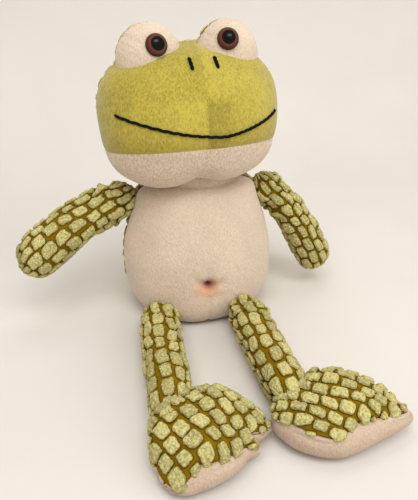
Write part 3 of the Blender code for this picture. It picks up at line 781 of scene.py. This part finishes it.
class FrogColours(bpy.types.PropertyGroup):
    """The colours of the cloths, eyes and thread"""

    cream: shown_colour("Cream", "Short plush of tummy, chin, brows and soles", (0.70, 0.56, 0.42))
    velour: shown_colour("Velour", "Green velour of the snout", (0.43, 0.345, 0.052))
    tuft: shown_colour("Tuft", "Tufts of the patched cloth", (0.55, 0.49, 0.200))
    ground: shown_colour("Ground", "Flat ground between the tufts", (0.200, 0.120, 0.002))
    navel: shown_colour("Navel", "Inside of the navel", (0.78, 0.36, 0.22))
    iris: shown_colour("Iris", "Brown ring of the eyes", (0.10, 0.030, 0.016))
    thread: shown_colour("Thread", "Embroidery", (0.004, 0.0045, 0.004))


class FROG_OT_torso(bpy.types.Operator):
    """Sew the tummy, back and seat"""

    bl_idname = "frog.torso"
    bl_label = "Torso"

    def execute(self, context):
        sizes = context.scene.frog_sizes
        side = Vector((0, SIDE_SEAM_Y, 0))
        seat = Vector((0, 0, SEAT_SEAM_HEIGHT))
        seams = ((side, FRONT), (seat, UP))
        rings = torso_rings(96)
        ring = ring_at(rings, NAVEL_HEIGHT)
        navel_place = Vector((0, ring[3] - ring[2], NAVEL_HEIGHT))

        def sewn(vert):
            ends = min(max(0.0, vert.co.z - SEAT_SEAM_HEIGHT), max(0.0, SHOULDER_HEIGHT - vert.co.z))
            return min(abs(vert.co.y - SIDE_SEAM_Y), ends)

        settling = settled(form(torso_rings(34), 56), sewn, TORSO_PRESSURE)
        tummy = form(rings, 192)
        follow(tummy, settling)
        inside, deep = layers(tummy, "navel", "deep")

        def pressed(vert):
            if vert.co.y > 0:
                return soft(vert.co, "side")
            off = vert.co - navel_place
            near = math.hypot(off.x, off.z)
            vert[inside] = bell(math.hypot(off.x * 0.9 + 0.0008, off.z + 0.0016), 0.0082)
            # Painted shade for the navel's hole: this layer darkens the plush in and around the recess.
            vert[deep] = bell(math.hypot(off.x * 0.8 + off.z * 0.2, (off.z - 0.0012) * 0.8), 0.0036)
            hole = sizes.navel_depth * bell(math.hypot(off.x * 0.85, off.z * 1.15 - 0.0006), 0.0040)
            dimple = 0.0034 * bell(near, 0.012)
            creased = 0.0007 * math.sin(math.atan2(off.z, off.x) * 5 + 0.6) * bell(near - 0.010, 0.005)
            lip = 0.0016 * bell(off.z + 0.0058, 0.0022) * bell(off.x, 0.0050)
            pulled = 0.0011 * bell(off.x, 0.0016) * eased(-off.z, 0.006, 0.012)
            fold = 0.0030 * bell(vert.co.z - 0.008, 0.013) * bell(vert.co.x, 0.045)
            return fold + lip + soft(vert.co, "torso") - hole - dimple - creased - pulled

        swell(tummy, pressed)
        tuck(tummy, seams[:1], 1.0)
        above_floor(tummy.verts)
        cut(tummy, ((side, FRONT), (Vector((0, 0, TUMMY_EDGE)), UP)))
        nodes = ("tummy_panel", "torso_filling", "navel_tuck")
        piece("tummy", tummy, ROOT, short_plush, "torso", nodes)

        rings = torso_rings(150)
        shell = form(rings, 330)
        follow(shell, settling)
        swell(shell, lambda vert: soft(vert.co, "torso"))
        tufted(shell, level_rows(rings, seed=2), seams)
        tuck(shell, seams, 1.0)
        for name, kept, nodes in (
            ("back", ((side, BACK), (seat, UP)), ("back_panel",)),
            ("seat", ((seat, DOWN),), ("seat_panel", "pellet_pouch")),
        ):
            panel = cut(shell.copy(), kept)
            if name == "seat":
                for vert in panel.verts:
                    hidden = SEAT_HIDDEN * eased(SIDE_SEAM_Y - vert.co.y, 0.0, 0.004)
                    vert.co -= Vector((vert.co.x, vert.co.y, 0)).normalized() * hidden
            piece(name, panel, ROOT, tufted_cloth, "torso", nodes)
        shell.free()
        return {"FINISHED"}


def head_detail(place):
    """Lobes of the chin, the dip between them and the dart's dimple on the snout."""
    across = place.x + HEAD_SHIFT
    lobes = 0.0030 * bell(across + 0.029, 0.022) + 0.0018 * bell(across - 0.026, 0.020)
    lobes *= bell(place.z - 0.036, 0.013)
    dip = 0.0038 * bell(across, 0.011) * bell(place.z - 0.034, 0.012)
    dart = 0.0016 * bell(math.hypot(across - 0.0025, place.z - 0.098), 0.0030)
    cheek = 0.0004 * bell(place.z - 0.072, 0.010)
    return (lobes - dip - dart - cheek) * eased(-place.y, 0.0, 0.03) + soft(place, "head")


def head_form(rings, segments, outward):
    """The head's closed form in its place, swelled."""
    shell = form(rings, segments, HEAD_SQUARENESS)
    bmesh.ops.translate(shell, verts=shell.verts, vec=(-HEAD_SHIFT, 0, 0))
    swell(shell, lambda vert: outward(vert.co))
    return shell


def bump_middle(side):
    return Vector((side * BUMP_SPACING / 2 - HEAD_SHIFT, BUMP_Y, BUMP_RISE))


class FROG_OT_head(bpy.types.Operator):
    """Sew the snout, chin and back of the head"""

    bl_idname = "frog.head"
    bl_label = "Head"

    def execute(self, context):
        back_point = Vector((0, BACK_SEAM_Y, 0))
        middle = Vector((-HEAD_SHIFT, 0, CHIN_SEAM_HEIGHT))
        sideways = Vector((math.cos(MIDDLE_SEAM_LEAN), 0, -math.sin(MIDDLE_SEAM_LEAN)))
        chin = Vector((0, 0, CHIN_SEAM_HEIGHT))
        above = Vector((0, math.sin(CHIN_SEAM_TILT), math.cos(CHIN_SEAM_TILT)))
        seams = ((back_point, FRONT), (middle, sideways), (chin, above))
        shell = head_form(head_rings(110), 240, head_detail)
        # Every point of the head gets the layer for the chin's strands, whose bright strokes are painted
        # sheen.
        pile, strands_and_sheen = layers(shell, "pile", "strands_and_sheen")
        # Painted sheen on the snout: each half is painted lighter or darker beside the middle seam, as its
        # pile catches the light its own way.
        for vert in shell.verts:
            vert[strands_and_sheen] = 1.0
            across = (vert.co - middle).dot(sideways)
            upper = eased(vert.co.z, 0.094, 0.104)
            if across > 0:
                beside, beyond, far = 0.12 + 0.78 * upper, 0.62, eased(across, 0.002, 0.030)
            else:
                beside, beyond, far = 0.98 - 0.55 * upper, 0.60, eased(-across, 0.006, 0.045)
            vert[pile] = beside + (beyond - beside) * far
        tuck(shell, seams[:1], 1.0)
        tuck(shell, seams[1:2], 0.26, 0.0011)
        tuck(shell, seams[2:], 0.45, 0.0013)
        for name, side in SIDES.items():
            for part, upward, finish in (("snout", 1, velour_pile), ("chin", -1, short_plush)):
                kept = ((back_point, FRONT), (middle, side * sideways), (chin, upward * above))
                nodes = [f"{name}_{part}_panel"]
                if (name, part) == ("right", "snout"):
                    nodes.append("head_filling")
                panel = cut(shell.copy(), kept)
                piece(f"{name}_{part}", panel, HEAD, finish, "head", nodes)
        shell.free()

        rings = head_rings(150)
        shell = head_form(rings, 340, lambda place: soft(place, "head"))
        tufted(shell, level_rows(rings, seed=4), seams[:1])
        tuck(shell, seams[:1], 1.0)
        cut(shell, ((back_point, BACK),))
        piece("head_back", shell, HEAD, tufted_cloth, "head", ("head_back_panel",))
        return {"FINISHED"}


def eye_seat(side, tilt):
    """The eye's place on its bump, and the way that it faces, in the head's frame."""
    inward = side * (EYE_SPACING - BUMP_SPACING) / 2
    left_over = math.sqrt(1 - (inward / BUMP_HALVES.x) ** 2)
    seat = Vector((
        inward,
        -BUMP_HALVES.y * left_over * math.cos(tilt),
        BUMP_HALVES.z * left_over * math.sin(tilt),
    ))
    facing = Vector(tuple(seat[axis] / BUMP_HALVES[axis] ** 2 for axis in range(3))).normalized()
    return bump_middle(side) + seat, facing


class FROG_OT_bumps(bpy.types.Operator):
    """Sew the two eye bumps, each with a plush brow and a tufted back"""

    bl_idname = "frog.bumps"
    bl_label = "Eye bumps"

    def execute(self, context):
        seam = Vector((0, BUMP_Y, 0))
        rings = [
            Vector((BUMP_HALVES.z * height, BUMP_HALVES.x * radius, BUMP_HALVES.y * radius, 0))
            for radius, height in arc(1, math.pi, 0, 60)
        ]
        for name, side in SIDES.items():
            seat, facing = eye_seat(side, EYE_TILTS[name])
            middle = bump_middle(side)

            def stuffing(vert):
                return soft(vert.co + middle, "bump")

            def pressed(vert):
                off = vert.co + middle - seat
                aside = (off - facing * off.dot(facing)).length if off.length < 0.02 else 1.0
                socket = 0.0012 * bell(aside, 0.0072)
                crease = bell(off.z - 0.35 * abs(off.x) + 0.002, 0.0016) * eased(abs(off.x), 0.008, 0.013)
                return 0.0006 + stuffing(vert) - socket - 0.0006 * crease

            for part, kept, segments, finish, outward in (
                ("brow", FRONT, 120, short_plush, pressed),
                ("bump_back", BACK, 160, tufted_cloth, stuffing),
            ):
                bm = form(rings, segments)
                swell(bm, outward)
                bmesh.ops.translate(bm, verts=bm.verts, vec=middle)
                if part == "bump_back":
                    tufted(bm, level_rows(rings, 6 + side), ((seam, FRONT),), low=0.75)
                tuck(bm, ((seam, FRONT),), 0.7)
                cut(bm, ((seam, kept),))
                nodes = (f"{name}_{part}_panel",)
                piece(f"{name}_{part}", bm, HEAD, finish, "head", nodes)
        return {"FINISHED"}


class FROG_OT_eyes(bpy.types.Operator):
    """Turn the two domed eyes and give their washers a finish"""

    bl_idname = "frog.eyes"
    bl_label = "Eyes"

    def execute(self, context):
        flange = [(0.0073, -0.0012), (EYE_RADIUS, -0.0004), (EYE_RADIUS * 1.004, 0.0002)]
        dome = [
            (EYE_RADIUS * radius, EYE_RIM + (EYE_DOME - EYE_RIM) * height)
            for radius, height in arc(1, math.pi / 2, 0, 20)[1:]
        ]
        for name, side in SIDES.items():
            bm = turned(EYE_SHANK + flange + dome, 72)
            radial, = layers(bm, "radial")
            for vert in bm.verts:
                vert[radial] = vert.co.xy.length / EYE_RADIUS if vert.co.z > 0 else 1.0
            place = HEAD @ aimed(*eye_seat(side, EYE_TILTS[name]))
            piece(f"{name}_domed_eye", bm, place, domed_eye, "head", (f"{name}_eye",), cloth=0)
            washer = frame["nodes"][f"{name}_eye_washer"]
            washer.data.materials.clear()
            washer.data.materials.append(finished(moulded_washer))
        return {"FINISHED"}


def snout_point(rings, across, height):
    ring = ring_at(rings, height)
    left_over = 1 - abs(across / ring[1]) ** HEAD_SQUARENESS
    return Vector((across - HEAD_SHIFT, ring[3] - ring[2] * left_over ** (1 / HEAD_SQUARENESS), height))


def on_snout(rings, across, height, lift):
    """A place on the swelled snout, or off it by `lift`."""
    step = 0.001
    place = snout_point(rings, across, height)
    sideways = snout_point(rings, across + step, height) - snout_point(rings, across - step, height)
    upward = snout_point(rings, across, height + step) - snout_point(rings, across, height - step)
    outward = sideways.cross(upward).normalized()
    seam = bell(across, 0.0016) * 0.0008
    return place + outward * (head_detail(place) + lift - seam)


def stitched(name, path, width, count, node):
    """A line of overlapping stitches along a path on the snout."""
    rings = head_rings(110)
    curve = bpy.data.curves.new(name, "CURVE")
    curve.dimensions = "3D"
    curve.bevel_depth = width / 2
    curve.bevel_resolution = 3
    curve.use_fill_caps = True
    for number in range(count):
        start = max(0.0, (number - 0.22) / count)
        end = min(1.0, (number + 1.22) / count)
        sway = width * (0.10 + 0.10 * chance(number, 2)) * (1 if number % 2 else -1)
        spline = curve.splines.new("POLY")
        spline.points.add(5)
        for index, point in enumerate(spline.points):
            across, height = path(start + (end - start) * index / 5)
            bend = math.sin(math.pi * index / 5)
            lift = width * (0.02 + 0.30 * bend)
            point.co = (*(HEAD @ on_snout(rings, across, height + sway * (index / 2.5 - 1), lift)), 1)
            point.radius = 0.72 + 0.28 * bend + 0.06 * chance(number, index)
    curve.materials.append(finished(embroidery_thread))
    made = linked(name, curve)
    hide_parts(node)
    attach(made, "head")


class FROG_OT_embroidery(bpy.types.Operator):
    """Stitch the mouth and the two nostrils"""

    bl_idname = "frog.embroidery"
    bl_label = "Mouth and nostrils"

    def execute(self, context):
        sizes = context.scene.frog_sizes
        reach = ring_at(head_rings(110), MOUTH_HEIGHT)[1] - MOUTH_MARGIN

        def mouth(share):
            place = 2 * share - 1
            side = math.copysign(1, place)
            across = MOUTH_SHIFT + place * (reach - side * MOUTH_SHIFT)
            return across, MOUTH_HEIGHT + MOUTH_RISES[side] * abs(place) ** MOUTH_CURL

        stitched("mouth_line", mouth, sizes.thread_width, sizes.stitches, "mouth_stitching")
        for name, side in SIDES.items():
            across = side * NOSTRIL_SPACING / 2 + NOSTRIL_SHIFT

            def nostril(share):
                height = HEAD_BASE + HEAD_HEIGHT - NOSTRIL_DROP + NOSTRIL_LENGTH * (share - 0.5)
                return across + NOSTRIL_LEAN * (1 - 2 * share), height

            width = sizes.thread_width * 1.2
            stitched(f"{name}_nostril_line", nostril, width, 3, f"{name}_nostril_stitching")
        return {"FINISHED"}


def stuffed(place, aside):
    """The swell of a limb's filling, with the puckers where it is gathered at its root."""
    shifted = place + Vector((aside, 0, 0))
    return soft(shifted, "limb") + soft(shifted, "pucker") * bell(place.z - 0.010, 0.018)


def elbow(place):
    """A shallow fold on the inside of the bend."""
    return 0.0016 * bell(place.z - 0.034 - 0.25 * place.x, 0.0034) * eased(-place.y, -0.004, 0.010)


def panel_nodes(name, part, filled):
    """The nodes of a panel, with the filling's where the panel stands for that too."""
    return [f"{name}_{part}_panel"] + ([f"{name}_filling"] if filled else [])


def sew_limb(name, place, shape, segments, outward, across, rows, panels, twist=0.0, blend=None):
    """Sews a limb of two tufted panels, which meet in the plane through its middle that `across` stands on.
    The first panel also stands for the filling."""

    def sewn(vert):
        return min(abs(vert.co.dot(across)), max(0.0, vert.co.z - 0.004))

    settling = settled(form(limb_rings(26, *shape), 28, twist=twist), sewn, LIMB_PRESSURE)
    shell = form(limb_rings(124, *shape), segments, twist=twist)
    follow(shell, settling)
    swell(shell, lambda vert: outward(vert.co))
    seams = ((Vector(), across),)
    tufted(shell, rows, seams)
    tuck(shell, seams, 0.5)
    for part, facing in panels:
        panel = cut(shell.copy(), ((Vector(), facing * across),))
        nodes = panel_nodes(name, part, part == panels[0][0])
        piece(f"{name}_{part}", panel, place, tufted_cloth, name, nodes, blend=blend)
    shell.free()


class FROG_OT_arms(bpy.types.Operator):
    """Sew the two arms, each of two tufted panels"""

    bl_idname = "frog.arms"
    bl_label = "Arms"

    def execute(self, context):
        pitch = context.scene.frog_sizes.tuft_length
        shape = (ARM_BALL, ARM_HALVES, ARM_LENGTH, arm_shares, 0.0, ARM_BOW)
        for name, side in SIDES.items():
            drop, forward, twist = (math.radians(angle) for angle in ARM_AIMS[name])
            level = math.cos(drop)
            aim = Vector((side * level * math.cos(forward), -level * math.sin(forward), -math.sin(drop)))
            place = aimed(joint_place(f"{name}_shoulder_lift"), aim)
            sew_limb(
                f"{name}_arm", place, shape, 150, lambda place: stuffed(place, side * 0.3) - elbow(place),
                Vector((1, 0, 0)), long_rows(pitch, 11, 8 + side), (("front", -side), ("back", side)),
                twist=side * twist,
            )
        return {"FINISHED"}


class FROG_OT_legs(bpy.types.Operator):
    """Sew the two legs, whose cloth runs on over the ankles"""

    bl_idname = "frog.legs"
    bl_label = "Legs"

    def execute(self, context):
        pitch = context.scene.frog_sizes.tuft_length * 1.08
        shape = (HIP_BALL, LEG_HALVES, LEG_LENGTH, leg_shares, ANKLE_BALL, 0.0)
        for name, side in SIDES.items():
            spread = math.radians(LEG_SPREADS[name])
            aim = Vector((side * math.sin(spread), -math.cos(spread), 0))
            place = aimed(joint_place(f"{name}_hip_spread"), aim)
            ankle = joint_place(f"{name}_ankle_flex")
            sew_limb(
                f"{name}_leg", place, shape, 140, lambda place: stuffed(place, side * 0.7),
                Vector((0, 1, 0)), long_rows(pitch, 9, 14 + side), (("top", 1), ("under", -1)),
                blend=(f"{name}_leg", f"{name}_foot", ankle - aim * 0.024, ankle + aim * 0.002),
            )
        return {"FINISHED"}


# Stations round each foot, in degrees from straight ahead and millimetres: the seam's reach and height, then
# the reach and height of the rolled sole at its widest. Angles grow toward the frog's left.
foot_stations = {
    "right": (
        (-150, 31, 16, 31, 11),
        (-120, 28, 11, 28, 8),
        (-90, 30.5, 8, 30, 6),
        (-68, 35, 7, 34.5, 5.5),
        (-54, 37.5, 8.5, 37, 6),
        (-45, 32.5, 14, 36.5, 7),
        (-32, 25.5, 19.5, 34.5, 9),
        (-10, 26.5, 20, 34, 10),
        (14, 29.5, 20, 35, 10.5),
        (30, 33.5, 19, 36.5, 11),
        (38, 40, 15, 41.5, 10.5),
        (47, 31, 19, 36, 11),
        (56, 42.5, 14.5, 45, 9),
        (65, 50.5, 11.5, 51.5, 8.5),
        (76, 48.5, 12.5, 49, 8.5),
        (92, 43, 15, 43, 9),
        (115, 37.5, 17, 37, 9),
        (145, 33, 18, 33, 9),
        (180, 30, 17, 30, 9),
    ),
    "left": (
        (-158, 38, 17, 39, 9),
        (-140, 41, 18, 42, 9),
        (-124, 35.5, 21, 40.5, 9),
        (-108, 33.5, 21, 38.5, 8),
        (-90, 32, 20, 36.5, 8),
        (-75, 30.5, 19, 34.5, 8),
        (-64, 28.5, 19.5, 33.5, 8),
        (-53, 24, 21, 33, 9),
        (-42, 21.5, 21.5, 33.5, 10),
        (-25, 23.5, 21, 35.5, 11),
        (-10, 28, 20.5, 39, 11),
        (4, 35, 19, 47, 11.5),
        (14, 45.5, 16.5, 54, 11.5),
        (22, 51.5, 14.5, 55, 10.5),
        (32, 46.5, 16, 48.5, 10),
        (48, 41, 18, 42, 10),
        (68, 35, 18, 36, 10),
        (92, 30.5, 18.5, 31, 10),
        (120, 27, 18, 27.5, 10),
        (150, 26.5, 17, 27, 9),
        (180, 31, 17, 32, 9),
    ),
}


def foot_station(name, angle):
    """The seam's reach and height and the sole's at an angle from straight ahead, along a smooth curve."""
    table = foot_stations[name]
    count = len(table)
    turn = (math.degrees(angle) - table[0][0]) % 360 + table[0][0]
    first = max(number for number in range(count) if table[number][0] <= turn)
    rows = []
    for number in range(first - 1, first + 3):
        row = table[number % count]
        rows.append((row[0] + 360 * (number // count), Vector(row[1:])))
    (start_before, before), (start, a), (end, b), (end_after, after) = rows
    length = end - start
    share = (turn - start) / length
    leave = (b - before) / (end - start_before) * length
    arrive = (after - a) / (end_after - start) * length
    square, cube = share * share, share**3
    curve = a * (2 * cube - 3 * square + 1) + leave * (cube - 2 * square + share)
    return (curve + b * (3 * square - 2 * cube) + arrive * (cube - square)) / 1000


def foot_top(name, angle, share):
    """A point of the top, from the seam at nothing to the middle at one, and its reach on the flat cloth."""
    seam, height, _, _ = foot_station(name, angle)
    turns = [foot_station(name, angle + math.radians(off))[0] for off in range(-45, 46, 15)]
    smooth = sum(turns) / len(turns)
    lift = share * math.pi / 2
    blend = math.sin(lift) ** 0.8
    reach = (seam + (smooth - seam) * blend) * math.cos(lift) ** 0.9
    fullness = 1.0 + 0.25 * eased(math.cos(angle), -0.3, 0.6)
    rise = height + (FOOT_TOPS[name] - height) * math.sin(lift) ** fullness
    return reach, rise, reach * (1 + 0.2 * math.cos(lift) ** 2)


def foot_sole(name, angle, share):
    """A point of the sole, from the seam at nothing, over its rolled edge, to the middle at one."""
    seam, height, wide, low = foot_station(name, angle)
    rolled = 0.35
    if share < rolled:
        lift = share / rolled * math.pi / 2
        return seam + (wide - seam) * math.sin(lift), height + (low - height) * (1 - math.cos(lift))
    lift = (share - rolled) / (1 - rolled) * math.pi / 2
    return wide * math.cos(lift), low * (1 - math.sin(lift))


def foot_panel(name, side, upward, segments, rows):
    """A foot's top or sole: shaped, swelled, tufted if it is the top, and hemmed along the seam."""
    sizes = bpy.context.scene.frog_sizes
    middle = Vector((0, -FOOT_REACH, 0))
    bm = bmesh.new()
    bmesh.ops.create_uvsphere(bm, u_segments=segments, v_segments=rows, radius=1)
    cut(bm, ((Vector(), upward * UP),))
    flat_x, flat_y, shares, painted_sole_shade = layers(bm, "flat_x", "flat_y", "share", "painted_sole_shade")
    for vert in bm.verts:
        angle = math.atan2(vert.co.x, -vert.co.y) if vert.co.xy.length > 1e-5 else 0.0
        share = math.asin(min(1, abs(vert.co.z))) / (math.pi / 2)
        ahead = Vector((math.sin(angle), -math.cos(angle), 0))
        if upward > 0:
            reach, rise, flat = foot_top(name, angle, share)
            vert[flat_x] = flat * math.sin(angle)
            vert[flat_y] = flat * math.cos(angle)
        else:
            reach, rise = foot_sole(name, angle, share)
            # Painted shade and warm floor light on the sole, strongest toward its middle underneath.
            vert[painted_sole_shade] = 0.35 + 0.65 * eased(share, 0.05, 0.45)
        vert[shares] = share
        drawn = sizes.seam_depth * 0.4 * bell(share, 0.022)
        vert.co = middle + ahead * (reach - drawn) + Vector((0, 0, rise - drawn))

    def outward(vert):
        share = vert[shares]
        swollen = eased(share, 0.0, 0.05)
        shifted = vert.co + Vector((side, 0, 0))
        if upward < 0:
            creased = 0.0012 * bell(share - 0.16, 0.045) * (1 + noise.noise(vert.co / 0.016))
            return soft(shifted, "foot") * swollen - creased
        gathered = bell(vert.co.y + 0.012, 0.0050) * (0.0004 + 0.0030 * noise.noise(shifted / 0.005))
        return (soft(shifted, "foot") + gathered * eased(vert.co.z, 0.016, 0.026)) * swollen

    swell(bm, outward)
    if upward > 0:
        long, wide = sizes.tuft_length * 0.86, sizes.tuft_width * 1.02
        tufts(bm, lambda vert: (vert[flat_y] / long + 40, vert[flat_x] / wide + 40.5, 0, 20 + side),
              lambda vert: 0.055 * vert[shares], base=0.0)
    edges = [edge for edge in bm.edges if edge.is_boundary]
    for vert in bmesh.ops.extrude_edge_only(bm, edges=edges)["geom"]:
        if isinstance(vert, bmesh.types.BMVert):
            inward = Vector((middle.x - vert.co.x, middle.y - vert.co.y, 0)).normalized()
            vert.co += inward * (0.0008 if upward > 0 else 0.0030) - Vector((0, 0, 0.0030))
    return bm


class FROG_OT_feet(bpy.types.Operator):
    """Sew the two feet: a tufted top, and a plush sole that rolls up over the toes"""

    bl_idname = "frog.feet"
    bl_label = "Feet"

    def execute(self, context):
        for name, side in SIDES.items():
            ankle = joint_place(f"{name}_ankle_flex")
            place = Matrix.Translation((ankle.x, ankle.y, 0))
            place = place @ Matrix.Rotation(math.radians(FOOT_TURNS[name]), 4, "Z")
            foot = f"{name}_foot"
            for part, upward, segments, rows, finish in (
                ("top", 1, 300, 130, tufted_cloth),
                ("sole", -1, 200, 110, short_plush),
            ):
                bm = foot_panel(name, side, upward, segments, rows)
                nodes = panel_nodes(foot, part, part == "top")
                piece(f"{foot}_{part}", bm, place, finish, foot, nodes)
        return {"FINISHED"}


class FROG_OT_gathers(bpy.types.Operator):
    """Pleat the small discs of cloth where the head and limbs are gathered and sewn on"""

    bl_idname = "frog.gathers"
    bl_label = "Gathers"

    def execute(self, context):
        cloth = 0.0006
        joints = {"neck": ("neck_nod", (0, 0, 1), NECK_BALL, 0.0165)}
        for name, side in SIDES.items():
            joints[f"{name}_shoulder"] = (f"{name}_shoulder_swing", (-side, 0, 0), ARM_BALL, ARM_BALL * 0.57)
            joints[f"{name}_hip"] = (f"{name}_hip_lift", (0, 1, 0), HIP_BALL, HIP_BALL * 0.57)
        for name, (joint, aim, ball, reach) in joints.items():
            inner = ball + 0.0003
            bm = turned(arc(inner, 0, math.asin(reach / inner), 6), 48)
            for vert in bm.verts:
                turn = math.atan2(vert.co.y, vert.co.x)
                vert.co *= 1 + 0.0003 / ball * math.sin(turn * 12) * vert.co.xy.length / reach
            place = aimed(joint_place(joint), Vector(aim))
            node = f"{name}_gusset"
            piece(f"{name}_gather", bm, place, tufted_cloth, node, (node,), cloth=cloth)
        return {"FINISHED"}


class FROG_OT_stage(bpy.types.Operator):
    """Set the floor, backdrop, lamps and camera"""

    bl_idname = "frog.stage"
    bl_label = "Stage"

    def execute(self, context):
        scene = context.scene
        half, bend, behind = 2.5, 0.30, 0.35
        run = [(-2.2, 0.0), (behind, 0.0)]
        run += [(behind + radius, bend - height) for radius, height in arc(bend, 0, math.pi / 2, 12)[1:]]
        run.append((behind + bend, 2.4))
        bm = bmesh.new()
        verts = [bm.verts.new((-half, along, height - 0.0002)) for along, height in run]
        edges = [bm.edges.new(pair) for pair in zip(verts, verts[1:])]
        bmesh.ops.extrude_edge_only(bm, edges=edges)
        bm.verts.ensure_lookup_table()
        for vert in bm.verts[len(verts):]:
            vert.co.x = half
        bmesh.ops.recalc_face_normals(bm, faces=bm.faces)
        floor = as_object("floor", bm)
        bm.free()
        floor.data.shade_smooth()
        finish = Finish("pale_floor")
        colour = finish.mix(finish.noise(9, 3), (0.66, 0.62, 0.57, 1.0), (0.72, 0.68, 0.63, 1.0))
        finish.set(Base_Color=colour, Roughness=0.85)
        floor.data.materials.append(finish.material)

        for name, place, aim, size, power in (
            ("key", (-0.30, -0.70, 1.50), (0.0, 0.0, 0.10), 1.3, 14.5),
            ("fill", (1.05, -0.85, 0.75), (0.0, 0.0, 0.10), 1.2, 8.0),
            ("back", (0.10, 0.55, 1.30), (0.0, 0.05, 0.12), 0.9, 4.0),
            ("glint", (0.34, -0.80, 1.35), (0.0, 0.0, 0.20), 0.66, 4.0),
        ):
            lamp = bpy.data.lights.new(name, "AREA")
            lamp.shape = "ELLIPSE"
            lamp.size = size
            lamp.size_y = size * (0.5 if name == "glint" else 1.0)
            lamp.energy = power
            lit = linked(name, lamp)
            lit.location = place
            lit.rotation_euler = (Vector(aim) - Vector(place)).to_track_quat("-Z", "Y").to_euler()
            lit.visible_glossy = name == "glint"
        world = bpy.data.worlds.new("soft_light")
        world.use_nodes = True
        sky = world.node_tree.nodes["Background"].inputs
        sky["Color"].default_value = (1.0, 0.98, 0.95, 1.0)
        sky["Strength"].default_value = 0.47
        scene.world = world
        scene.view_settings.view_transform = "Standard"

        camera = bpy.data.cameras.new("camera")
        camera.sensor_fit = "VERTICAL"
        camera.sensor_height = 36
        camera.lens = 37.8
        placed = linked("camera", camera)
        placed.location = ROOT @ Vector((-0.0783, -0.420, 0.275))
        placed.rotation_euler = Euler((math.radians(90 - 28), 0, math.radians(-12)))
        scene.camera = placed
        return {"FINISHED"}


OPERATORS = (
    FROG_OT_torso,
    FROG_OT_head,
    FROG_OT_bumps,
    FROG_OT_eyes,
    FROG_OT_embroidery,
    FROG_OT_arms,
    FROG_OT_legs,
    FROG_OT_feet,
    FROG_OT_gathers,
    FROG_OT_stage,
)


class FROG_PT_panel(bpy.types.Panel):
    """Lists the frog's sizes, colours and pieces"""

    bl_idname = "FROG_PT_panel"
    bl_label = "Plush frog"
    bl_space_type = "VIEW_3D"
    bl_region_type = "UI"
    bl_category = "Frog"

    def draw(self, context):
        for group in (context.scene.frog_sizes, context.scene.frog_colours):
            column = self.layout.column(align=True)
            for name in group.bl_rna.properties.keys():
                if name not in ("rna_type", "name"):
                    column.prop(group, name)
        column = self.layout.column(align=True)
        for operator in OPERATORS:
            column.operator(operator.bl_idname)


CLASSES = (FrogSizes, FrogColours, *OPERATORS, FROG_PT_panel)


def register():
    for made in CLASSES:
        bpy.utils.register_class(made)
    bpy.types.Scene.frog_sizes = PointerProperty(type=FrogSizes)
    bpy.types.Scene.frog_colours = PointerProperty(type=FrogColours)


def unregister():
    del bpy.types.Scene.frog_colours
    del bpy.types.Scene.frog_sizes
    for made in reversed(CLASSES):
        bpy.utils.unregister_class(made)


def main():
    register()
    for operator in OPERATORS:
        group, name = operator.bl_idname.split(".")
        getattr(getattr(bpy.ops, group), name)()


if __name__ == "__main__":
    main()
